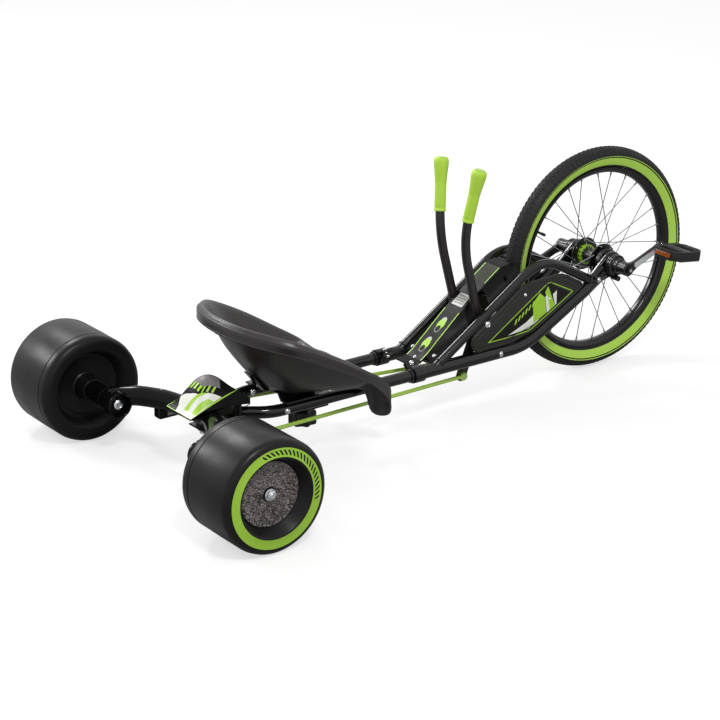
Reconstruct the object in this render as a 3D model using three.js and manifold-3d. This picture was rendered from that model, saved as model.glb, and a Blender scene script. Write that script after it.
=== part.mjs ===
// Lever-steered ride-on trike for a child: a large pedalled front wheel, a low bucket seat on two rails
// and a rear axle that two hand levers swing. Millimetres, +X forward, +Y left, +Z up, ground at zero.
import * as THREE from "three";
import { mergeVertices } from "three/addons/utils/BufferGeometryUtils.js";
import Module from "manifold-3d";

const wasm = await Module();
wasm.setup();

// Clearances and overrun shared by all pieces.
const gap = 0.3; // between pieces that touch
const running = 0.6; // round a shaft that turns
const overrun = 6; // how far a cutting solid runs past a face
const weld = 0.001; // corners closer than this are one corner

// Overall layout.
const wheelbase = 1139.4;
const overallWidth = 837.8;

// Front wheel.
const frontRadius = 254;
const tyreRadius = 26;
const tyreDepth = 45; // from the tread to the tyre's inner face
const rimWidth = 35;
const rimDepth = 20.7;
const rimWell = 16; // width of the rim's inner face
const frontSides = 44;
const flangeRadius = 37.5;
const flangeThickness = 3;
const flangeLeft = 33;
const flangeRight = 26;
const hubRadius = 21.7;
const spokeRadius = 1.1;
const spokesPerSide = 14;
const spokeLean = 0.75; // radians between a spoke's two ends
const freewheelRadius = 30;
const freewheelNeck = 22;
const freewheelWidth = 15;
const freewheelTeeth = 16;

// Rear wheels.
const rearRadius = 114.15;
const rearWidth = 158.4;
const rearShoulder = 15;
const rearSides = 32;
const dishRim = 78; // radius where the outer dish starts
const discRadius = 65;
const dishDepth = 28;
const innerDishRim = 84;
const innerDishDepth = 34;
const wheelHubRadius = 22;
const discThickness = 2.5;
const discHole = 14.5;

// Frame tubes. Back and ahead are measured from the rear edge of the front tyre.
const frameY = 64; // side tubes, from the middle
const frameZ = 116.5;
const frontTubeRadius = 14.3;
const railRadius = 12.7;
const loopRadius = 10.5;
const tubeSides = 12;
const loopSides = 10;
const frontTubeBack = 313.4;
const railOverlap = 70; // how far a rail runs into its front tube
const kneeAhead = 0.6;
const kneeBend = 40;
const loopFootBack = 249.4;
const loopTopAhead = 45.6;
const loopTopZ = 310;
const loopTopBend = 65;
const loopEndShare = 0.78; // of the sloping tube, from the knee to the hub
const dropoutRadius = 27;
const dropoutInner = 50;
const dropoutThickness = 12;

// Cross members between the side frames, measured from the rear edge of the front tyre.
const crossTubeBack = 221.4;
const crossTubeRadius = 8;
const crossPlateBack = 53.4;
const crossPlateLength = 34;
const crossPlateThickness = 4;

// Covers.
const coverHalfWidth = 49;
const coverThickness = 3;
const coverDrop = 1; // below the centre line of the loop tubes
const coverBack = 0.4; // high end, from the rear edge of the front tyre
const coverCollarGap = 2; // low end, from the clamp collars
const coverLowZ = 118;
const ridgeHalfWidth = 25.5;
const ridgeRise = 38; // of the middle ridge above the sheet
// The ridge's line: shares of the cover's length from its low end, and of the ridge's rise.
const ridgeShares = [[0.087, 0], [0.16, 0.3], [0.45, 0.75], [0.71, 0.97], [0.87, 1], [1, 0.55]];
const coverTyreNotch = 13; // length of the cut for the tyre
const coverTyreNotchHalf = 32;
const slotInner = 25.5;
const slotBack = 31; // slot ends, from the lever pivot
const slotFront = 24;
const panelThickness = 4;
const panelOffset = 3; // inner face, outward of the tube centres
const panelTail = 62;
const panelNose = 14;

// Clamps that hold the telescoped rails.
const collarAhead = 8; // of the front tube's start
const collarLength = 26;
const collarRadius = 18.2;
const earLength = 15;
const earThickness = 5;
const earGap = 3;
const earTilt = 0.62; // radians above level, towards the middle
const clampBoltRadius = 3;
const clampHeadRadius = 5.5;
const clampHeadHeight = 4;

// Rear rails and yoke.
const railStep = 41; // length of one straight facet along a rail
const railTurnX = 224;
const railEndY = 18;
const railEndX = 165;
const railBend = 16;
const yokeHalfWidth = 38;
const yokeRearX = 92;
const yokeWebX = 166;
const yokeWeb = 6;
const yokePlate = 4;
const yokeLowZ = 88.5;
const yokeHighZ = 144.5;
const stopBoltX = 256;
const stopBoltRadius = 3;
const stopHeadRadius = 6.5;
const stopHeadHeight = 4.5;

// Kingpin.
const kingpinX = 105;
const kingpinRadius = 8;
const kingpinHeadRadius = 12;
const kingpinHeadHeight = 8;
const kingpinNutHeight = 10;
const kingpinTip = 3;
const sleeveRadius = 17;
const bushFlange = 2.2;
const bushRadius = 16;
const bushSpigot = 10.6;
const bushLength = 14;

// Rear axle.
const axleRadius = 21;
const axleSides = 12;
const stubInner = 149;
// The bowed tube's middle line: shares of the kingpin's distance, the stubs' inner end and the wheel radius.
const axlePathShares = [
  [0.98, 0, 1.04], [0.95, 0.235, 1.06], [0.715, 0.61, 1.12], [0.57, 0.785, 1.13], [0.343, 1.007, 1.13],
  [0.076, 1.31, 1.05],
];
const stubWall = 4;
const stubBore = 31; // depth of the open end
const wheelBoltRadius = 6.35;
const wheelBoltHead = 12.7;
const wheelBoltHeadHeight = 8;
const wheelNutHeight = 10.5;
const wheelNutRadius = 12.1;
const wheelBoltTip = 3;
const bracketTop = 92.7;
const bracketThickness = 4;
const bracketWidth = 24;
const bracketReach = 12; // plate ahead of the rod end
const bracketWebLength = 20;

// Pivot cover.
const hoodHalfWidth = 46;
const hoodWall = 2.5;
const hoodRearX = 45;
const hoodRearZ = 137;
const hoodFrontX = 157;
const hoodFrontZ = 175;
const hoodNoseX = 188;
const hoodNoseZ = 166;
const hoodSkirtX = 142;
const hoodSkirtZ = 126;
const hoodNoseLowZ = 137;
const hoodLip = 2;
const domeX = 108;
const domeTop = 206;
const domeHalfLength = 40;
const domeHalfWidth = 37;
const hoodPostX = 150;
const hoodPostY = 20;
const hoodPostRadius = 3.5;

// Steering levers and tie rods.
const pivotBack = 108.4; // from the rear edge of the front tyre
const pivotZ = 190;
const leverY = 40.5;
const armWidth = 21;
const armThickness = 5;
const leverRadius = 10;
const leverRise = 347; // pivot to the top of the tube
const leverSetback = 46;
const leverSpread = 26;
// The tube's middle line from the pivot: shares of the setback, the spread and the rise.
const leverPathShares = [[-0.07, -0.09, 0.055], [-0.2, -0.09, 0.12], [-1, 0, 0.536], [-0.52, 0.94, 0.985]];
const leverBend = 20;
const gripRadius = 12.4;
const gripTopRadius = 16.5;
const gripRim = 13.6;
const gripLength = 119;
const gripWall = 2;
const rodEyeBack = 45;
const rodEyeDrop = 115;
const pivotBoltRadius = 4;
const pivotHeadRadius = 8;
const pivotHeadHeight = 5;
const pivotNutHeight = 5;
const pivotShoulder = 7;
const tabWidth = 30;
const tabThickness = 4;
const tabDrop = 14;
const rodRadius = 4.25;
const rodEyeRadius = 9;
const rodBoltRadius = 4;
const rodBoltHead = 6.5;
const rodBoltHeadHeight = 4.5;
const rodEndX = 110;
const rodEndY = 105;
const rodEndThickness = 9.5;

// Crank set and pedals.
const crankAxleRadius = 8;
const crankLength = 101;
const crankRise = 0.367; // radians of the right arm above level
const crankInner = 106;
const crankThickness = 10;
const crankWidth = 17;
const crankBossRadius = 15;
const crankBossInner = 91.5;
const crankEndRadius = 11;
const crankNutRadius = 9;
const crankNutHeight = 6;
const holderRadius = 24;
const holderOuter = 90;
const holderNubDrop = 29;
const holderNubRadius = 6;
const bearingRadius = 15;
const bearingWidth = 20;
const axleCollarRadius = 12;
const spindleRadius = 6;
const spindleCollar = 9;
const pedalY = 168;
const pedalLength = 88;
const pedalWidth = 80;
const pedalHeight = 24;
const pedalCorner = 14;
const pedalWindowLength = 24;
const pedalWindowWidth = 50;
const pedalBarrel = 11;
const pedalTilt = 0.14;
const reflectorWidth = 50;
const reflectorHeight = 12;
const reflectorThickness = 3;

// Seat.
const seatBackX = 139;
const seatLength = 343;
const seatHalfWidth = 184;
const seatFloorZ = 152;
const seatRise = 157; // floor to the top of the rim
const seatShell = 5;
const seatRound = 40; // points round the bucket
const seatSteps = 6; // rings from the floor to the edge

// Seat bracket, clamp plate and knob.
const seatBracketX = 255;
const seatBracketLength = 110;
const seatBracketTop = 46;
const seatBracketSlope = 6;
const seatBracketPlate = 4;
const seatBracketFoot = 12;
const strapX = 211;
const strapZ = 184;
const strapHalfWidth = 15;
const knobX = 345;
const knobRadius = 30;
const knobWaist = 24.5;
const knobLobes = 7;
const knobLow = 44;
const knobHeight = 32;
const knobBoss = 13;
const studRadius = 5;
const studNutRadius = 9;
const studNutHeight = 10;
const clampPlateLength = 40;
const clampPlateHalf = 66;
const clampPlateThickness = 4;

// Places along X that follow the front tyre.
const tyreBackX = wheelbase - frontRadius;
const frontTubeStart = tyreBackX - frontTubeBack;
const collarX = frontTubeStart + collarAhead;
const loopFootX = tyreBackX - loopFootBack;
const loopTopX = tyreBackX + loopTopAhead;
const kneeX = tyreBackX + kneeAhead;
const crossTubeX = tyreBackX - crossTubeBack;
const crossPlateX = tyreBackX - crossPlateBack;
const coverHighX = tyreBackX - coverBack;
const coverLowX = collarX + collarLength + coverCollarGap;
const coverLength = coverHighX - coverLowX;
const pivotX = tyreBackX - pivotBack;

const xAxis = new THREE.Vector3(1, 0, 0);
const yAxis = new THREE.Vector3(0, 1, 0);
const zAxis = new THREE.Vector3(0, 0, 1);
const point = (x, y, z) => new THREE.Vector3(x, y, z);

// A closed geometry as a solid that can be joined and cut.
function solid(geometry) {
  const bare = geometry.clone();
  bare.deleteAttribute("normal");
  bare.deleteAttribute("uv");
  const merged = mergeVertices(bare, weld);
  return new wasm.Manifold(
    new wasm.Mesh({
      numProp: 3,
      vertProperties: merged.attributes.position.array,
      triVerts: new Uint32Array(merged.index.array),
    }),
  );
}

// A solid as a three.js geometry again.
function surface(body) {
  const mesh = body.getMesh();
  const geometry = new THREE.BufferGeometry();
  geometry.setAttribute("position", new THREE.BufferAttribute(mesh.vertProperties, 3));
  geometry.setIndex(new THREE.BufferAttribute(mesh.triVerts, 1));
  geometry.computeVertexNormals();
  return geometry;
}

const joined = (first, ...rest) => surface(rest.reduce((sum, g) => sum.add(solid(g)), solid(first)));
const cut = (first, ...tools) => surface(tools.reduce((left, g) => left.subtract(solid(g)), solid(first)));

// A round or tapered bar from one point to another.
function bar(from, to, radius, sides, endRadius = radius) {
  const along = to.clone().sub(from);
  const length = along.length();
  const geometry = new THREE.CylinderGeometry(endRadius, radius, length, sides);
  geometry.translate(0, length / 2, 0);
  geometry.applyQuaternion(new THREE.Quaternion().setFromUnitVectors(yAxis, along.normalize()));
  return geometry.translate(from.x, from.y, from.z);
}

// A bar along Y between two distances from the middle, on the side that the sign gives.
function crossBar(x, z, inner, outer, side, radius, sides) {
  return bar(point(x, side * inner, z), point(x, side * outer, z), radius, sides);
}

// A box between two corners.
function block(low, high) {
  const size = high.clone().sub(low);
  const middle = low.clone().add(high).multiplyScalar(1 / 2);
  return new THREE.BoxGeometry(size.x, size.y, size.z).translate(middle.x, middle.y, middle.z);
}

function flatShape(outline) {
  return new THREE.Shape(outline.map(([a, b]) => new THREE.Vector2(a, b)));
}

// An outline in X and Z, made solid along Y.
function sidePlate(outline, low, high) {
  const turned = outline.map(([x, z]) => [z, x]);
  const geometry = new THREE.ExtrudeGeometry(flatShape(turned), { depth: high - low, bevelEnabled: false });
  geometry.translate(0, 0, low);
  return geometry.applyMatrix4(new THREE.Matrix4().makeBasis(zAxis, xAxis, yAxis));
}

// An outline in X and Y, made solid along Z.
function levelPlate(outline, low, high) {
  const geometry = new THREE.ExtrudeGeometry(flatShape(outline), { depth: high - low, bevelEnabled: false });
  return geometry.translate(0, 0, low);
}

// An outline in Y and Z, made solid along X.
function crossPlate(outline, low, high) {
  const geometry = new THREE.ExtrudeGeometry(flatShape(outline), { depth: high - low, bevelEnabled: false });
  geometry.translate(0, 0, low);
  return geometry.applyMatrix4(new THREE.Matrix4().makeBasis(yAxis, zAxis, xAxis));
}

// A profile of radius and height, turned about Y. A ring's profile closes on itself.
function turned(profile, sides) {
  const points = profile.map(([radius, along]) => new THREE.Vector2(radius, along));
  return new THREE.LatheGeometry(points, sides, Math.PI / sides);
}

const ring = (profile, sides) => turned([...profile, profile[0]], sides);

// A wheel profile whose flats, not its corners, lie at the stated radii.
function onFlats(profile, sides) {
  return profile.map(([radius, along]) => [radius / Math.cos(Math.PI / sides), along]);
}

// Straight runs through the corners with a rounded bend at each inner corner.
function bentPath(corners, bends) {
  const path = new THREE.CurvePath();
  let from = corners[0];
  corners.slice(1, -1).forEach((corner, i) => {
    const back = corners[i].clone().sub(corner).setLength(bends[i]);
    const on = corners[i + 2].clone().sub(corner).setLength(bends[i]);
    const start = corner.clone().add(back);
    const end = corner.clone().add(on);
    path.add(new THREE.LineCurve3(from, start));
    path.add(new THREE.QuadraticBezierCurve3(start, corner, end));
    from = end;
  });
  path.add(new THREE.LineCurve3(from, corners[corners.length - 1]));
  return path;
}

// A round tube's outer shape along a path.
function tube(path, radius, sides, steps) {
  const section = Array.from({ length: sides }, (_, i) => {
    const angle = (2 * Math.PI * i) / sides;
    return [radius * Math.cos(angle), radius * Math.sin(angle)];
  });
  return new THREE.ExtrudeGeometry(flatShape(section), { steps, bevelEnabled: false, extrudePath: path });
}

// Where two lines in X and Z cross, each given by a point and a direction.
function crossing(p, d, q, e) {
  const t = ((q[0] - p[0]) * e[1] - (q[1] - p[1]) * e[0]) / (d[0] * e[1] - d[1] * e[0]);
  return [p[0] + t * d[0], p[1] + t * d[1]];
}

// An outline moved in from its sides, anticlockwise in X and Z, with each corner cut off.
function insetOutline(corners, insets, cuts) {
  const sides = corners.map((from, i) => {
    const to = corners[(i + 1) % corners.length];
    const length = Math.hypot(to[0] - from[0], to[1] - from[1]);
    const along = [(to[0] - from[0]) / length, (to[1] - from[1]) / length];
    return { start: [from[0] - along[1] * insets[i], from[1] + along[0] * insets[i]], along };
  });
  return sides.flatMap((next, i) => {
    const last = sides[(i + sides.length - 1) % sides.length];
    const [x, z] = crossing(last.start, last.along, next.start, next.along);
    return [
      [x - last.along[0] * cuts[i], z - last.along[1] * cuts[i]],
      [x + next.along[0] * cuts[i], z + next.along[1] * cuts[i]],
    ];
  });
}

// Finishes, as seen on the object.
const finishes = {
  frame: { color: 0x17181a, roughness: 0.3, metalness: 0.35 },
  plastic: { color: 0x1b1c1e, roughness: 0.5, metalness: 0 },
  seat: { color: 0x202124, roughness: 0.55, metalness: 0 },
  tyre: { color: 0x1c1c1c, roughness: 0.85, metalness: 0 },
  rim: { color: 0x1a1b1d, roughness: 0.3, metalness: 0.5 },
  spoke: { color: 0xb4b6b8, roughness: 0.35, metalness: 0.9 },
  hub: { color: 0x2a2b2d, roughness: 0.4, metalness: 0.5 },
  steel: { color: 0xc9cbcc, roughness: 0.25, metalness: 1 },
  alloy: { color: 0xd3d5d6, roughness: 0.35, metalness: 0.9 },
  slick: { color: 0x222224, roughness: 0.5, metalness: 0 },
  disc: { color: 0x8b8e90, roughness: 0.5, metalness: 0.1 },
  grip: { color: 0xa6d820, roughness: 0.55, metalness: 0 },
  rod: { color: 0xa3d31e, roughness: 0.4, metalness: 0.1 },
  reflector: { color: 0xd9822b, roughness: 0.2, metalness: 0 },
};

function piece(parent, name, geometry, finish) {
  const mesh = new THREE.Mesh(geometry, new THREE.MeshStandardMaterial(finishes[finish]));
  mesh.name = name;
  parent.add(mesh);
  return mesh;
}

function groupAt(parent, x, y, z) {
  const group = new THREE.Group();
  group.position.set(x, y, z);
  parent.add(group);
  return group;
}

const bothSides = (build) => [["left", 1], ["right", -1]].forEach(([name, side]) => build(name, side));

// Everything is placed from the rear axle, and the whole trike is centred on its length.
const root = new THREE.Group();
const trike = groupAt(root, (rearRadius - wheelbase - frontRadius) / 2, 0, 0);

// Lines of the side frame in X and Z.
const foot = [loopFootX, frameZ];
const knee = [kneeX, frameZ];
const hub = [wheelbase, frontRadius];
const loopTop = [loopTopX, loopTopZ];
const slopeLength = Math.hypot(hub[0] - knee[0], hub[1] - knee[1]);
const slope = [(hub[0] - knee[0]) / slopeLength, (hub[1] - knee[1]) / slopeLength];
const loopEnd = [knee[0] + (hub[0] - knee[0]) * loopEndShare, knee[1] + (hub[1] - knee[1]) * loopEndShare];
const loopSlope = (loopTop[1] - foot[1]) / (loopTop[0] - foot[0]);
const loopAngle = Math.atan(loopSlope);
const loopLineZ = (x) => foot[1] + loopSlope * (x - foot[0]);
const panelInner = frameY + panelOffset;
const panelOuter = panelInner + panelThickness;

// Welded side frame: lower tube, loop tube, flattened end at the hub and the lever's tab.
function sideFrame(side) {
  const y = side * frameY;
  const endX = hub[0] - slope[0] * dropoutRadius;
  const endZ = hub[1] - slope[1] * dropoutRadius;
  const lowerPath = bentPath(
    [point(frontTubeStart, y, frameZ), point(knee[0], y, knee[1]), point(endX, y, endZ)],
    [kneeBend],
  );
  const lower = tube(lowerPath, frontTubeRadius, tubeSides, 16);
  const loopPath = bentPath(
    [point(foot[0], y, foot[1]), point(loopTop[0], y, loopTop[1]), point(loopEnd[0], y, loopEnd[1])],
    [loopTopBend],
  );
  const loop = tube(loopPath, loopRadius, loopSides, 18);
  const dropoutOuter = dropoutInner + dropoutThickness;
  const eye = crossBar(hub[0], hub[1], dropoutInner, dropoutOuter, side, dropoutRadius, 20);
  const neckX = hub[0] - slope[0] * 2 * dropoutRadius;
  const neckZ = hub[1] - slope[1] * 2 * dropoutRadius;
  const neckOutline = [
    [hub[0] - slope[1] * dropoutRadius, hub[1] + slope[0] * dropoutRadius],
    [neckX - slope[1] * frontTubeRadius, neckZ + slope[0] * frontTubeRadius],
    [neckX + slope[1] * frontTubeRadius, neckZ - slope[0] * frontTubeRadius],
    [hub[0] + slope[1] * dropoutRadius, hub[1] - slope[0] * dropoutRadius],
  ];
  const neckSides = [side * dropoutInner, side * dropoutOuter].sort((a, b) => a - b);
  const neck = sidePlate(neckOutline, ...neckSides);
  const tabInner = panelInner - running - tabThickness - panelOffset;
  const tabSides = [side * tabInner, side * (tabInner + tabThickness)].sort((a, b) => a - b);
  const tab = block(
    point(pivotX - tabWidth / 2, tabSides[0], pivotZ - tabDrop),
    point(pivotX + tabWidth / 2, tabSides[1], loopLineZ(pivotX)),
  );
  const body = joined(lower, loop, eye, neck, tab);
  const boreStart = point(frontTubeStart - overrun, y, frameZ);
  const boreEnd = point(frontTubeStart + railOverlap + overrun, y, frameZ);
  return cut(
    body,
    bar(boreStart, boreEnd, railRadius + gap, tubeSides),
    crossBar(hub[0], hub[1], dropoutInner - overrun, frameY + frontTubeRadius + overrun, side,
      crankAxleRadius + running, tubeSides),
    crossBar(pivotX, pivotZ, tabInner - overrun, panelInner, side, pivotBoltRadius + gap, loopSides),
  );
}

function sidePanel(side) {
  const outline = insetOutline(
    [foot, knee, loopEnd, loopTop],
    [frontTubeRadius + gap, frontTubeRadius + gap, loopRadius + gap, loopRadius + gap],
    [panelTail, kneeBend, panelNose, loopTopBend],
  );
  const sides = [side * panelInner, side * panelOuter].sort((a, b) => a - b);
  const hole = crossBar(pivotX, pivotZ, panelInner - overrun, panelOuter + overrun, side,
    pivotBoltRadius + gap, loopSides);
  return cut(sidePlate(outline, ...sides), hole);
}

// The bolt that a lever turns on: dome head outside the panel, shoulder up to the lever, nut inside.
function pivotBolt(side) {
  const armInner = leverY - armThickness / 2;
  const armOuter = leverY + armThickness / 2;
  const tabInner = panelInner - running - tabThickness - panelOffset;
  const headInner = panelOuter + gap;
  const nutOuter = armInner - gap;
  return joined(
    crossBar(pivotX, pivotZ, nutOuter - pivotNutHeight, headInner + pivotHeadHeight / 2, side,
      pivotBoltRadius, loopSides),
    crossBar(pivotX, pivotZ, armOuter + gap, tabInner - gap, side, pivotShoulder, tubeSides),
    bar(point(pivotX, side * headInner, pivotZ), point(pivotX, side * (headInner + pivotHeadHeight), pivotZ),
      pivotHeadRadius, tubeSides, pivotHeadRadius * 0.6),
    crossBar(pivotX, pivotZ, nutOuter - pivotNutHeight, nutOuter, side, pivotShoulder, 6),
  );
}

// Split collar with two ears that a bolt draws together.
function clampCollar(side) {
  const high = collarX + collarLength;
  const axisFrom = point(collarX, 0, 0);
  const axisTo = point(high, 0, 0);
  const reach = collarRadius + earLength;
  const earHalf = earGap / 2 + earThickness;
  const body = joined(
    bar(axisFrom, axisTo, collarRadius, 16),
    block(point(collarX, 0, -earHalf), point(high, reach, earHalf)),
  );
  const boltY = collarRadius + earLength / 2;
  const boltX = collarX + collarLength / 2;
  return cut(
    body,
    bar(point(collarX - overrun, 0, 0), point(high + overrun, 0, 0), frontTubeRadius + running, tubeSides),
    block(point(collarX - overrun, 0, -earGap / 2), point(high + overrun, reach + overrun, earGap / 2)),
    bar(point(boltX, boltY, -earHalf - overrun), point(boltX, boltY, earHalf + overrun),
      clampBoltRadius + gap, loopSides),
  );
}

function clampBolt() {
  const boltY = collarRadius + earLength / 2;
  const boltX = collarX + collarLength / 2;
  const face = earGap / 2 + earThickness + gap;
  const top = face + clampHeadHeight;
  return joined(
    bar(point(boltX, boltY, -top), point(boltX, boltY, top), clampBoltRadius, loopSides),
    bar(point(boltX, boltY, face), point(boltX, boltY, top), clampHeadRadius, loopSides),
    bar(point(boltX, boltY, -top), point(boltX, boltY, -face), clampHeadRadius, 6),
  );
}

// Rings joined one to the next, closed by a fan at each end.
function loft(rings, firstMiddle, lastMiddle) {
  const round = rings[0].length;
  const places = [...rings.flat(), firstMiddle, lastMiddle];
  const faces = [];
  for (let r = 0; r + 1 < rings.length; r += 1) {
    for (let i = 0; i < round; i += 1) {
      const a = r * round + i;
      const b = r * round + ((i + 1) % round);
      faces.push(a, b, b + round, a, b + round, a + round);
    }
  }
  const last = (rings.length - 1) * round;
  for (let i = 0; i < round; i += 1) {
    const next = (i + 1) % round;
    faces.push(rings.length * round, next, i);
    faces.push(rings.length * round + 1, last + i, last + next);
  }
  const geometry = new THREE.BufferGeometry().setFromPoints(places);
  geometry.setIndex(faces);
  geometry.computeVertexNormals();
  return geometry;
}

// Cover between the loop tubes: a bent sheet with a hollow ridge along its middle whose sides slope down to
// the tubes, a slot for each lever and a notch for the tyre.
const coverTop = (x) => loopLineZ(x) - coverDrop;
const coverBendX = coverLowX + coverLength * ridgeShares[1][0];
const coverBendZ = Math.max(coverTop(coverBendX), coverLowZ + coverThickness);
const coverNormal = coverThickness / Math.cos(loopAngle);

// Height of the sheet's upper face: gentle up to the bend, then along the loop tubes.
function sheetTop(x) {
  const share = (x - coverLowX) / (coverBendX - coverLowX);
  const level = coverLowZ + coverThickness;
  return share < 1 ? level + (coverBendZ - level) * share : coverBendZ + loopSlope * (x - coverBendX);
}

// The ridge over some of its stations; its hollow is shrunk by a wall and runs down by a depth.
function ridgeBody(stations, wall, depth) {
  const rings = stations.map(([along, rise]) => {
    const x = coverLowX + along * coverLength;
    const top = sheetTop(x) + rise * ridgeRise - wall;
    const bottom = sheetTop(x) - coverNormal - depth;
    const inner = ridgeHalfWidth - wall / 2;
    const outer = coverHalfWidth - wall;
    return [point(x, -inner, top), point(x, -outer, bottom), point(x, outer, bottom), point(x, inner, top)];
  });
  const middle = (ring) => ring[0].clone().add(ring[2]).multiplyScalar(1 / 2).setY(0);
  return loft(rings, middle(rings[0]), middle(rings[rings.length - 1]));
}

function topCover() {
  const outline = [
    [coverLowX, coverLowZ],
    [coverLowX, coverLowZ + coverThickness],
    [coverBendX, coverBendZ],
    [coverHighX, sheetTop(coverHighX)],
    [coverHighX, sheetTop(coverHighX) - coverNormal],
    [coverBendX, coverBendZ - coverNormal],
  ];
  const sheet = sidePlate(outline, -coverHalfWidth, coverHalfWidth);
  const shell = cut(
    joined(sheet, ridgeBody(ridgeShares, 0, -coverThickness / 2)),
    ridgeBody(ridgeShares.slice(1), coverThickness, overrun),
  );
  const ribBottomX = crossPlateX + crossPlateLength / 4;
  const ribTopX = crossPlateX - crossPlateLength / 4;
  const under = (loopRadius - gap) / Math.cos(loopAngle);
  const rib = sidePlate(
    [
      [ribTopX, loopLineZ(ribTopX) - under],
      [ribBottomX, loopLineZ(ribBottomX) - under],
      [ribBottomX, coverTop(ribBottomX) - coverNormal / 2],
      [ribTopX, coverTop(ribTopX) - coverNormal / 2],
    ],
    -coverHalfWidth + coverThickness / 2,
    coverHalfWidth - coverThickness / 2,
  );
  const slotLow = loopLineZ(pivotX) - slotBack - slotFront;
  const slots = [1, -1].map((side) => {
    const sides = [side * slotInner, side * (coverHalfWidth + overrun)].sort((a, b) => a - b);
    return block(point(pivotX - slotBack, sides[0], slotLow), point(pivotX + slotFront, sides[1], loopTopZ));
  });
  const notch = block(
    point(coverHighX - coverTyreNotch, -coverTyreNotchHalf, frameZ),
    point(coverHighX + overrun, coverTyreNotchHalf, loopTopZ + overrun),
  );
  return cut(joined(shell, rib), ...slots, notch);
}

bothSides((name, side) => {
  piece(trike, "front_frame_" + name, sideFrame(side), "frame");
  piece(trike, "side_panel_" + name, sidePanel(side), "plastic");
  piece(trike, "lever_bolt_" + name, pivotBolt(side), "steel");
  const clamp = groupAt(trike, 0, side * frameY, frameZ);
  clamp.rotation.x = side > 0 ? Math.PI - earTilt : earTilt;
  piece(clamp, "clamp_collar_" + name, clampCollar(side), "frame");
  piece(clamp, "clamp_bolt_" + name, clampBolt(), "steel");
});

const crossReach = frameY - frontTubeRadius - gap;
piece(
  trike,
  "front_cross_tube",
  bar(point(crossTubeX, -crossReach, frameZ), point(crossTubeX, crossReach, frameZ), crossTubeRadius,
    loopSides),
  "frame",
);
const plateSpan = 2 * (panelInner - gap);
const crossPlateMesh = piece(
  trike,
  "front_cross_plate",
  new THREE.BoxGeometry(crossPlateLength, plateSpan, crossPlateThickness),
  "frame",
);
const plateDrop = loopRadius + gap + crossPlateThickness / 2;
crossPlateMesh.position.set(
  crossPlateX + Math.sin(loopAngle) * plateDrop,
  0,
  loopLineZ(crossPlateX) - Math.cos(loopAngle) * plateDrop,
);
crossPlateMesh.rotation.y = -loopAngle;
piece(trike, "top_cover", topCover(), "plastic");

// Rear rails run into the front tubes and draw together at the yoke.
function rail(side) {
  const path = bentPath(
    [
      point(frontTubeStart + railOverlap, side * frameY, frameZ),
      point(railTurnX, side * frameY, frameZ),
      point(railEndX, side * railEndY, frameZ),
    ],
    [railBend],
  );
  const yokeFront = yokeWebX + yokeWeb + gap;
  return cut(
    tube(path, railRadius, tubeSides, Math.round(path.getLength() / railStep)),
    block(
      point(yokeFront - railTurnX, -frameY - overrun, frameZ - frontTubeRadius),
      point(yokeFront, frameY + overrun, frameZ + frontTubeRadius),
    ),
    crossBar(stopBoltX, frameZ, frameY - railRadius - overrun, frameY + railRadius + overrun, side,
      stopBoltRadius + gap, loopSides),
  );
}

function stopBolt(side) {
  const inner = frameY - railRadius - gap;
  const outer = frameY + railRadius + gap;
  return joined(
    crossBar(stopBoltX, frameZ, inner - stopHeadHeight, outer + stopHeadHeight, side, stopBoltRadius,
      loopSides),
    crossBar(stopBoltX, frameZ, outer, outer + stopHeadHeight, side, stopHeadRadius, loopSides),
    crossBar(stopBoltX, frameZ, inner - stopHeadHeight, inner, side, stopHeadRadius, 6),
  );
}

bothSides((name, side) => {
  piece(trike, "rear_rail_" + name, rail(side), "frame");
  piece(trike, "seat_stop_" + name, stopBolt(side), "steel");
});

// Yoke: two plates joined by a web, open to the rear, with the kingpin through both.
const yokeFrontX = yokeWebX + yokeWeb;
const yokeTop = yokeHighZ + yokePlate;
const yokeBottom = yokeLowZ;
const kingpinHole = bar(
  point(kingpinX, 0, yokeBottom - overrun),
  point(kingpinX, 0, yokeTop + overrun),
  kingpinRadius + gap,
  tubeSides,
);
const yokeOutline = [
  [yokeRearX, yokeBottom],
  [yokeFrontX, yokeBottom],
  [yokeFrontX, yokeTop],
  [yokeRearX, yokeTop],
  [yokeRearX, yokeHighZ],
  [yokeWebX, yokeHighZ],
  [yokeWebX, yokeBottom + yokePlate],
  [yokeRearX, yokeBottom + yokePlate],
];
piece(trike, "rear_yoke", cut(sidePlate(yokeOutline, -yokeHalfWidth, yokeHalfWidth), kingpinHole), "frame");

const kingpinHeadTop = yokeBottom - gap;
const kingpinNutLow = yokeTop + gap;
const kingpinNutTop = kingpinNutLow + kingpinNutHeight;
piece(
  trike,
  "kingpin",
  joined(
    bar(point(kingpinX, 0, kingpinHeadTop - kingpinHeadHeight),
      point(kingpinX, 0, kingpinNutTop + kingpinTip), kingpinRadius, tubeSides),
    bar(point(kingpinX, 0, kingpinHeadTop - kingpinHeadHeight), point(kingpinX, 0, kingpinHeadTop),
      kingpinHeadRadius, 6),
    bar(point(kingpinX, 0, kingpinNutLow), point(kingpinX, 0, kingpinNutTop), kingpinHeadRadius, 6),
  ),
  "steel",
);

// Moulded cover over the steering pivot: a tilted hood with a dome, open underneath.
const hoodLift = (hoodFrontZ - hoodRearZ) / (hoodFrontX - hoodRearX);
const hoodPlane = (x) => hoodRearZ + hoodLift * (x - hoodRearX);

// The dome as a half ball stretched to its size, shrunk by a wall where it is the hollow inside.
function hoodDome(wall) {
  const base = hoodPlane(domeX) - hoodLip;
  const dome = new THREE.SphereGeometry(1, 20, 10).rotateX(Math.PI / 2);
  dome.scale(domeHalfLength - wall, domeHalfWidth - wall, domeTop - wall - base);
  return dome.translate(domeX, 0, base);
}

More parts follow.
